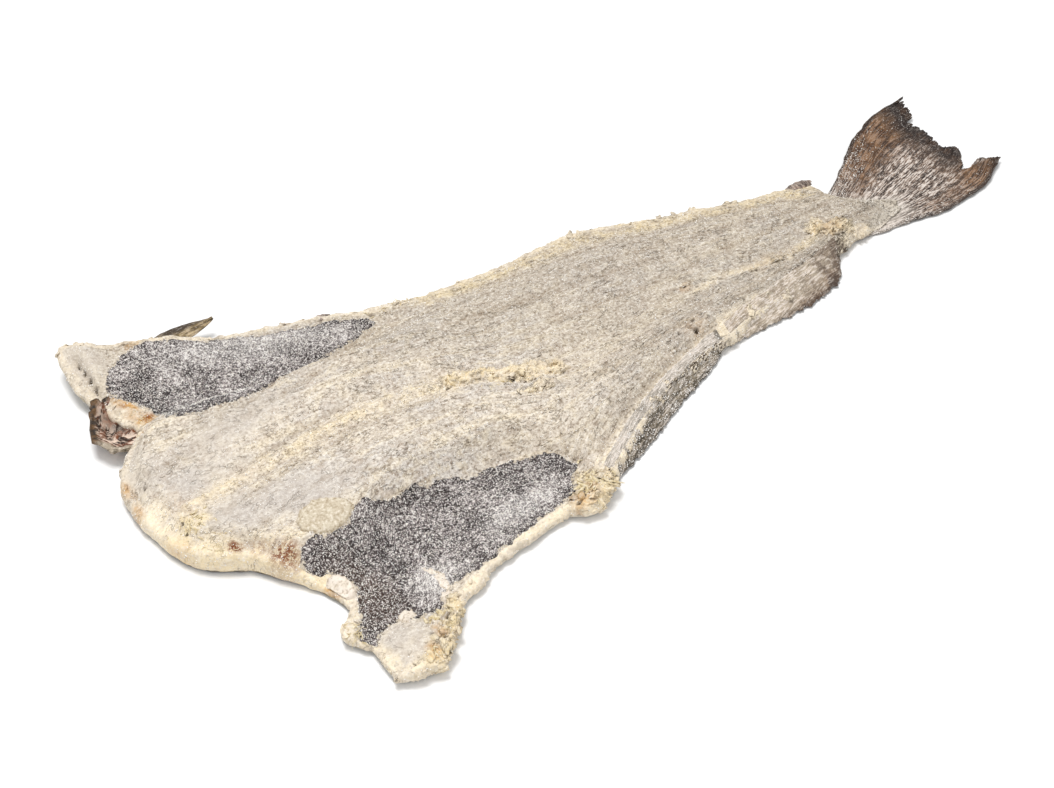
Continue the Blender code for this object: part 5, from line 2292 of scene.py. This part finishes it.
def joined_copies(name: str, template: Piece, points: Array) -> Piece:
    """Make one mesh of many copies of a template, whose points have been placed.

    Args:
        name: Name of the new object.
        template: The mesh that is copied; it is deleted.
        points: Copies by template points by three.

    Returns:
        The new mesh object.
    """
    copies, corners, _ = points.shape
    faces = np.array([list(face.vertices) for face in template.data.polygons])
    shifts = np.arange(copies)[:, None, None] * corners
    every_face = (faces[None, :, :] + shifts).reshape(-1, faces.shape[1])
    mesh = bpy.data.meshes.new(name)
    mesh.vertices.add(copies * corners)
    mesh.vertices.foreach_set("co", np.ascontiguousarray(points, dtype=np.float32).ravel())
    mesh.loops.add(every_face.size)
    mesh.loops.foreach_set("vertex_index", every_face.ravel().astype(np.int32))
    mesh.polygons.add(len(every_face))
    starts = np.arange(len(every_face), dtype=np.int32) * faces.shape[1]
    mesh.polygons.foreach_set("loop_start", starts)
    mesh.update(calc_edges=True)
    bpy.data.objects.remove(template, do_unlink=True)
    piece = bpy.data.objects.new(name, mesh)
    bpy.context.scene.collection.objects.link(piece)
    return piece


@dataclass(frozen=True)
class Spots:
    """Places on a surface, on the plan, and the way the surface faces there."""

    points: Array
    normals: Array

    def some(self, kept: Array) -> "Spots":
        """Keep only the chosen spots."""
        return Spots(self.points[kept], self.normals[kept])


def spots_on(pieces: Sequence[Piece], count: int, seed: int) -> Spots:
    """Draw evenly spread spots on the upper sides and edges of pieces.

    Args:
        pieces: The mesh objects.
        count: How many spots on each.
        seed: Which draw to make.

    Returns:
        The spots.
    """
    draw = np.random.default_rng(seed)
    places = []
    ways = []
    for piece in pieces:
        mesh = piece.data
        mesh.calc_loop_triangles()
        corners = np.empty(len(mesh.loop_triangles) * 3, dtype=np.int32)
        mesh.loop_triangles.foreach_get("vertices", corners)
        triangles = FILLET.from_frame(read_points(piece))[corners.reshape(-1, 3)]
        way = np.cross(triangles[:, 1] - triangles[:, 0], triangles[:, 2] - triangles[:, 0])
        area = np.linalg.norm(way, axis=1)
        way = way / np.maximum(area, 1e-12)[:, None]
        weight = area * (way[:, 2] > STEEPEST) * (triangles[:, :, 2].mean(axis=1) > LOWEST)
        chosen = draw.choice(len(area), size=count, p=weight / weight.sum())
        share = draw.dirichlet((1, 1, 1), count)
        places.append((triangles[chosen] * share[:, :, None]).sum(axis=1))
        ways.append(way[chosen])
    return Spots(np.concatenate(places), np.concatenate(ways))


@dataclass
class Scatter:
    """Many small shapes half sunk into a surface: salt crystals, crumbs or nodules."""

    name: str
    kind: Grain
    smallest: float
    largest: float
    most: int
    flat: tuple[float, float] = (0.7, 1.2)
    long: tuple[float, float] = (0.8, 1.3)
    stand: float = 0.1
    tumbled: bool = True
    uneven: float = 0.0
    seed: int = 3

    def build(self, spots: Spots, material: bpy.types.Material, fleshy: bool = False) -> Piece:
        """Model the shapes.

        Args:
            spots: Where they may lie.
            material: Their material.
            fleshy: Whether they take the flesh's masks from where they lie.

        Returns:
            The mesh object.
        """
        draw = np.random.default_rng(self.seed)
        spots = spots.some(draw.permutation(len(spots.points))[:self.most])
        count = len(spots.points)
        size = self.smallest + (self.largest - self.smallest) * draw.random(count) ** 2
        spread = np.stack([draw.uniform(*self.long, count), draw.uniform(0.7, 1, count),
                           draw.uniform(*self.flat, count)], axis=-1)
        template = grain_template(self.kind)
        shape = read_points(template)[None, :, :] * (size[:, None] * spread)[:, None, :]
        frames = random_turns(draw, count) if self.tumbled else self.laid(draw, spots)
        points = np.einsum("nij,nkj->nki", frames, shape)
        points = points + (spots.points + spots.normals * (self.stand * size)[:, None])[:, None, :]
        if self.uneven > 0:
            push = CRUMB.layered(points[..., 0] + points[..., 2], points[..., 1], 0.003, 2, 0.7)
            bulge = (self.uneven * size)[:, None, None] * push[..., None]
            points = points + spots.normals[:, None, :] * bulge
        points[..., 2] = np.clip(points[..., 2], 0.0003, PEAK)
        piece = joined_copies(self.name, template, FILLET.to_frame(points))
        if fleshy:
            keep_flow(piece)
            masks = flesh_masks(spots.points[:, 0], spots.points[:, 1])
            keep(piece, **{name: np.repeat(values, points.shape[1]) for name, values in masks.items()})
        finish_piece(piece, material)
        if self.kind is Grain.CRYSTAL:
            piece.data.shade_flat()
        return piece

    def laid(self, draw: np.random.Generator, spots: Spots) -> Array:
        """Turn shapes so that they lie flat on the surface, mostly along the fibres.

        Args:
            draw: The random source.
            spots: Where they lie.

        Returns:
            Count by three by three numbers.
        """
        count = len(spots.points)
        sides = np.sign(spots.points[:, 1] - MIDDLE.at(spots.points[:, 0]))
        heading = draw.normal(0, 0.7, count) + 0.45 * sides
        wish = np.stack([np.cos(heading), np.sin(heading), np.zeros(count)], axis=-1)
        first = wish - spots.normals * (wish * spots.normals).sum(axis=1, keepdims=True)
        first = first / np.maximum(np.linalg.norm(first, axis=1, keepdims=True), 1e-6)
        second = np.cross(spots.normals, first)
        return np.stack([first, second, spots.normals], axis=-1)


def random_turns(draw: np.random.Generator, count: int) -> Array:
    """Draw rotation matrices.

    Args:
        draw: The random source.
        count: How many.

    Returns:
        Count by three by three numbers.
    """
    four = draw.normal(size=(count, 4))
    w, x, y, z = (four / np.linalg.norm(four, axis=1, keepdims=True)).T
    rows = [[1 - 2 * (y * y + z * z), 2 * (x * y - z * w), 2 * (x * z + y * w)],
            [2 * (x * y + z * w), 1 - 2 * (x * x + z * z), 2 * (y * z - x * w)],
            [2 * (x * z - y * w), 2 * (y * z + x * w), 1 - 2 * (x * x + y * y)]]
    return np.array(rows).transpose(2, 0, 1)


class Dressing:
    """What is scattered over the fish: crumbs of dry flesh, nodules and salt."""

    def flesh(self, body: Piece) -> None:
        """Scatter crumbs and nodules over the flesh and its edges.

        Args:
            body: The flesh.
        """
        material = FleshFinish().build("salted_crumbs")
        spots = spots_on([body], 60000, 31)
        x = spots.points[:, 0]
        y = spots.points[:, 1]
        fray = warped(x, y)
        bare = (hole_depth(x, y) < 0.2) & ~self.covered(x, y)
        draw = np.random.default_rng(8)
        rough = np.maximum(strongest(Marks.knots, x, y, fray), 0.9 * Marks.torn.at(x, y, fray))
        frilled = Marks.frill.at(x, y)
        rough = np.maximum(rough, 0.8 * frilled)
        smooth = np.maximum(strongest(Marks.plates, x, y, 0), edge_nearness(x, y, 0.009))
        smooth = np.maximum(smooth, Marks.neck_rim.at(x, y))
        wanted = np.maximum(0.22 * (1 - smooth), 0.5 * rough) + 0.2 * Marks.ridge.at(x, y)
        crumbs = spots.some((draw.random(len(x)) < wanted) & bare)
        Scatter("crumbs", Grain.CRUMB, 0.0008, 0.0024, 9500, (0.2, 0.4), (0.9, 1.8), 0,
                tumbled=False, uneven=0.25).build(crumbs, material, fleshy=True)
        edge = 0.015 * edge_nearness(x, y, 0.006) * (1 - Marks.neck_rim.at(x, y))
        frayed = 0.25 * Marks.torn.at(x, y, fray) + 0.3 * frilled
        lumpy = np.maximum(strongest(Marks.knots, x, y, fray), frayed)
        wanted = np.maximum(lumpy, edge)
        nodules = spots.some((draw.random(len(x)) < wanted) & bare)
        Scatter("nodules", Grain.NODULE, 0.0016, 0.0056, 1500, (0.28, 0.6), (0.8, 2.4), 0,
                tumbled=False, uneven=0.9, seed=9).build(nodules, material, fleshy=True)

    def covered(self, x: Array, y: Array) -> Array:
        """Say which places lie under a belly lining."""
        linings = BellyLinings()
        under = linings.near.inside(x, y) > 0.001
        return under | (linings.far.inside(x, y) > 0.001)

    def salt(self, body: Piece, linings: Sequence[Piece],
             fins: Sequence[Piece]) -> None:
        """Scatter salt over the linings, the flesh and the fins.

        Args:
            body: The flesh.
            linings: The belly linings.
            fins: The tail fin and the anal fins.
        """
        material = SaltFinish().build("salt")
        draw = np.random.default_rng(5)
        for name, pieces, count, most, sizes, swell in (
            ("lining_salt", linings, 18000, 15000, (0.0004, 0.0011), 0.016),
            ("flesh_salt", [body], 60000, 20000, (0.0004, 0.0011), 0.022),
            ("fin_salt", fins, 6000, 9000, (0.0004, 0.0011), 0.01),
        ):
            spots = spots_on(pieces, count, most)
            x = spots.points[:, 0]
            y = spots.points[:, 1]
            cloud = 0.55 + 0.9 * WAVE.layered(x, y, swell, 3, 0.6)
            if name == "fin_salt":
                cloud = cloud * (0.08 + 0.8 * ease(0.64, 0.59, x))
            if name == "flesh_salt":
                cloud = cloud * ~self.covered(x, y)
            spots = spots.some(draw.random(len(x)) < cloud)
            Scatter(name, Grain.CRYSTAL, *sizes, most).build(spots, material)


@dataclass(frozen=True)
class Tuft:
    """A place where frayed strands grow."""

    x: float
    y: float
    spread_x: float
    spread_y: float
    count: int
    length: float
    thick: float = 0.0004
    heading: float = 0.0
    fan: float = 3.2
    curl: float = 1.4


@dataclass
class Fibres:
    """Frayed fibres and shreds that stick out where the flesh is torn or cut."""

    seed: int = 77
    tufts: tuple[Tuft, ...] = (
        Tuft(0.238, -0.1, 0.012, 0.011, 50, 0.0055, 0.0007),
        Tuft(0.238, -0.099, 0.009, 0.008, 22, 0.011, 0.0012),
        Tuft(0.106, -0.138, 0.006, 0.0012, 14, 0.0062, 0.0013, 1.6, 0.2, 0.1),
        Tuft(0.119, -0.138, 0.003, 0.005, 14, 0.004, 0.0006, 2.2, 0.8, 0.8),
        Tuft(0.114, -0.147, 0.005, 0.005, 20, 0.0045, 0.0006, 2.6, 1.2, 0.8),
        Tuft(0.11, -0.152, 0.004, 0.006, 24, 0.0036, 0.0006, -0.3, 1.2, 0.8),
        Tuft(0.098, -0.159, 0.006, 0.004, 16, 0.0032, 0.0006, -1.2, 1.2, 0.8),
        Tuft(0.114, -0.144, 0.006, 0.012, 60, 0.0036),
        Tuft(0.066, -0.122, 0.006, 0.008, 50, 0.005),
        Tuft(0.248, -0.003, 0.02, 0.006, 80, 0.0035),
        Tuft(0.022, -0.009, 0.007, 0.007, 70, 0.005, 0.0006, -0.7, 0.8),
        Tuft(0.526, 0.019, 0.01, 0.005, 40, 0.003),
        Tuft(0.028, -0.03, 0.008, 0.005, 90, 0.0045, 0.0003, 0.6, 1.2),
        Tuft(0.222, 0.112, 0.03, 0.003, 30, 0.0045),
        Tuft(0.036, 0.1, 0.004, 0.01, 24, 0.003),
    )

    def build(self, material: bpy.types.Material) -> Piece:
        """Model the fibres.

        Args:
            material: Their material.

        Returns:
            The mesh object.
        """
        draw = np.random.default_rng(self.seed)
        columns = []
        for tuft in self.tufts:
            count = tuft.count
            columns.append(np.stack([
                tuft.x + tuft.spread_x * draw.normal(0, 0.55, count),
                tuft.y + tuft.spread_y * draw.normal(0, 0.55, count),
                tuft.length * draw.uniform(0.4, 1.2, count),
                tuft.thick * draw.uniform(0.6, 1.3, count),
                tuft.heading + tuft.fan * draw.uniform(-1, 1, count),
                tuft.curl * draw.uniform(-1, 1, count)], axis=-1))
        x, y, length, thick, heading, curl = np.concatenate(columns).T
        along, across = rows_at(x, y)
        top, _ = flesh_surface(along, across)
        kept = np.hypot(top[:, 0] - x, top[:, 1] - y) < 0.003
        top, length, thick, heading, curl = top[kept], length[kept], thick[kept], heading[kept], curl[kept]
        count = len(length)
        template = grain_template(Grain.FIBRE)
        straight = read_points(template)
        share = np.clip(straight[:, 2], 0, 1)
        slope = draw.uniform(-0.05, 0.4, count)
        turn = heading[:, None] + curl[:, None] * share[None, :]
        forward = length[:, None] * share[None, :]
        taper = thick[:, None] * (1 - 0.75 * share[None, :] ** 1.5)
        x = top[:, 0, None] + forward * np.cos(turn) - np.sin(turn) * straight[None, :, 0] * taper
        y = top[:, 1, None] + forward * np.sin(turn) + np.cos(turn) * straight[None, :, 0] * taper
        z = top[:, 2, None] + forward * (slope[:, None] - 0.35 * share[None, :])
        z = np.clip(z + 0.7 * straight[None, :, 1] * taper, 0.0004, PEAK)
        piece = joined_copies("frayed_fibres", template, FILLET.to_frame(np.stack([x, y, z], axis=-1)))
        finish_piece(piece, material)
        return piece


@dataclass
class Stage:
    """The floor, the light and the camera."""

    lens: float = 58.06
    distance: float = 1.0924
    azimuth: float = -33.0
    elevation: float = 42.0
    aim_x: float = 0.2573
    aim_y: float = 0.0

    def build(self) -> None:
        """Set up the view."""
        self.floor()
        self.lights()
        self.camera()

    def floor(self) -> None:
        """Lay the plain pale floor."""
        deselect_all()
        bpy.ops.mesh.primitive_plane_add(size=12, location=(0, 0, -0.0002))
        floor = bpy.context.object
        floor.name = "floor"
        recipe = Recipe("floor_paper")
        colour = recipe.mix(0.5, (0.88, 0.88, 0.88, 1), (0.88, 0.88, 0.88, 1))
        normal = recipe.bump(recipe.noise(recipe.place(), 0.002), 0.00001, 0.05)
        floor.data.materials.append(recipe.surface(colour, 0.9, normal, 0))

    def lights(self) -> None:
        """Hang one large soft light over the fish in a bright room."""
        world = bpy.data.worlds.new("studio")
        bpy.context.scene.world = world
        world.use_nodes = True
        background = world.node_tree.nodes["Background"]
        background.inputs["Color"].default_value = (1, 1, 1, 1)
        background.inputs["Strength"].default_value = 0.55
        for name, place, size, power in (
                ("key", (-0.3, 0.25, 1.8), 0.7, 26),
                ("fill", (-0.5, -1, 1.4), 1.4, 7)):
            light = bpy.data.lights.new(name, "AREA")
            light.energy = power
            light.size = size
            lamp = bpy.data.objects.new(name, light)
            bpy.context.scene.collection.objects.link(lamp)
            lamp.location = place
            lamp.rotation_euler = (-Vector(place)).to_track_quat("-Z", "Y").to_euler()

    def camera(self) -> None:
        """Place the camera at the view's angle."""
        data = bpy.data.cameras.new("view")
        data.lens = self.lens
        data.sensor_width = 36
        data.clip_start = 0.01
        data.clip_end = 50
        camera = bpy.data.objects.new("view", data)
        bpy.context.scene.collection.objects.link(camera)
        turn = math.radians(self.azimuth)
        tilt = math.radians(self.elevation)
        back = Vector((math.sin(turn) * math.cos(tilt), -math.cos(turn) * math.cos(tilt), math.sin(tilt)))
        aim = FILLET.to_frame(np.array([self.aim_x, self.aim_y, 0]))
        camera.location = Vector(aim) + back * self.distance
        camera.rotation_mode = "QUATERNION"
        camera.rotation_quaternion = (-back).to_track_quat("-Z", "Y")
        bpy.context.scene.camera = camera
        bpy.context.scene.view_settings.view_transform = "Standard"


def main() -> None:
    """Build the fish piece by piece."""
    logging.basicConfig(level=logging.INFO, format="%(message)s")
    Stage().build()
    body = Body().build()
    Skin().build()
    linings = BellyLinings().build()
    FatPatches().build()
    tail = TailFin().build()
    fin_skin = FinFinish(dark=rgb(58, 42, 34), crust=rgb(190, 177, 158),
                         haze=rgb(128, 114, 100), streak=0.0013).build("edge_fin_skin")
    olive_skin = FinFinish(rgb(112, 101, 78), rgb(140, 128, 104), rgb(54, 48, 38),
                           streak=0.0022).build("olive_fin_skin")
    first = EdgeFin("first_anal_fin", FIRST_ANAL_REACH, 0.5, 0.95, (-0.003, 0.005)).build(olive_skin)
    second = EdgeFin("second_anal_fin", SECOND_ANAL_REACH, 0.26, 0.62, (0.006, 0.019)).build(fin_skin)
    brown_skin = FinFinish(rgb(140, 120, 82), rgb(194, 172, 134),
                           rgb(58, 46, 32)).build("pectoral_skin")
    stump_skin = FinFinish(rgb(112, 98, 84), rgb(158, 136, 122), rgb(66, 52, 44),
                           rgb(196, 180, 168)).build("stump_skin")
    PectoralFin().build(brown_skin)
    Collar().build()
    Stump("rear_stump", Vector((0.543, 0.074, 0.0085)), Vector((0.024, 0.01, 0.006))).build(stump_skin)
    Stump("far_stump", Vector((0.174, 0.124, 0.013)), Vector((0.016, 0.008, 0.006))).build(stump_skin)
    Dressing().flesh(body)
    Dressing().salt(body, linings, (tail, first, second))
    # The last number sets the painted border shade.
    frayed = PlainFatFinish(rgb(206, 190, 152), rgb(222, 208, 176), rgb(166, 142, 98), 0.2)
    Fibres().build(frayed.build("frayed_flesh"))


if __name__ == "__main__":
    main()
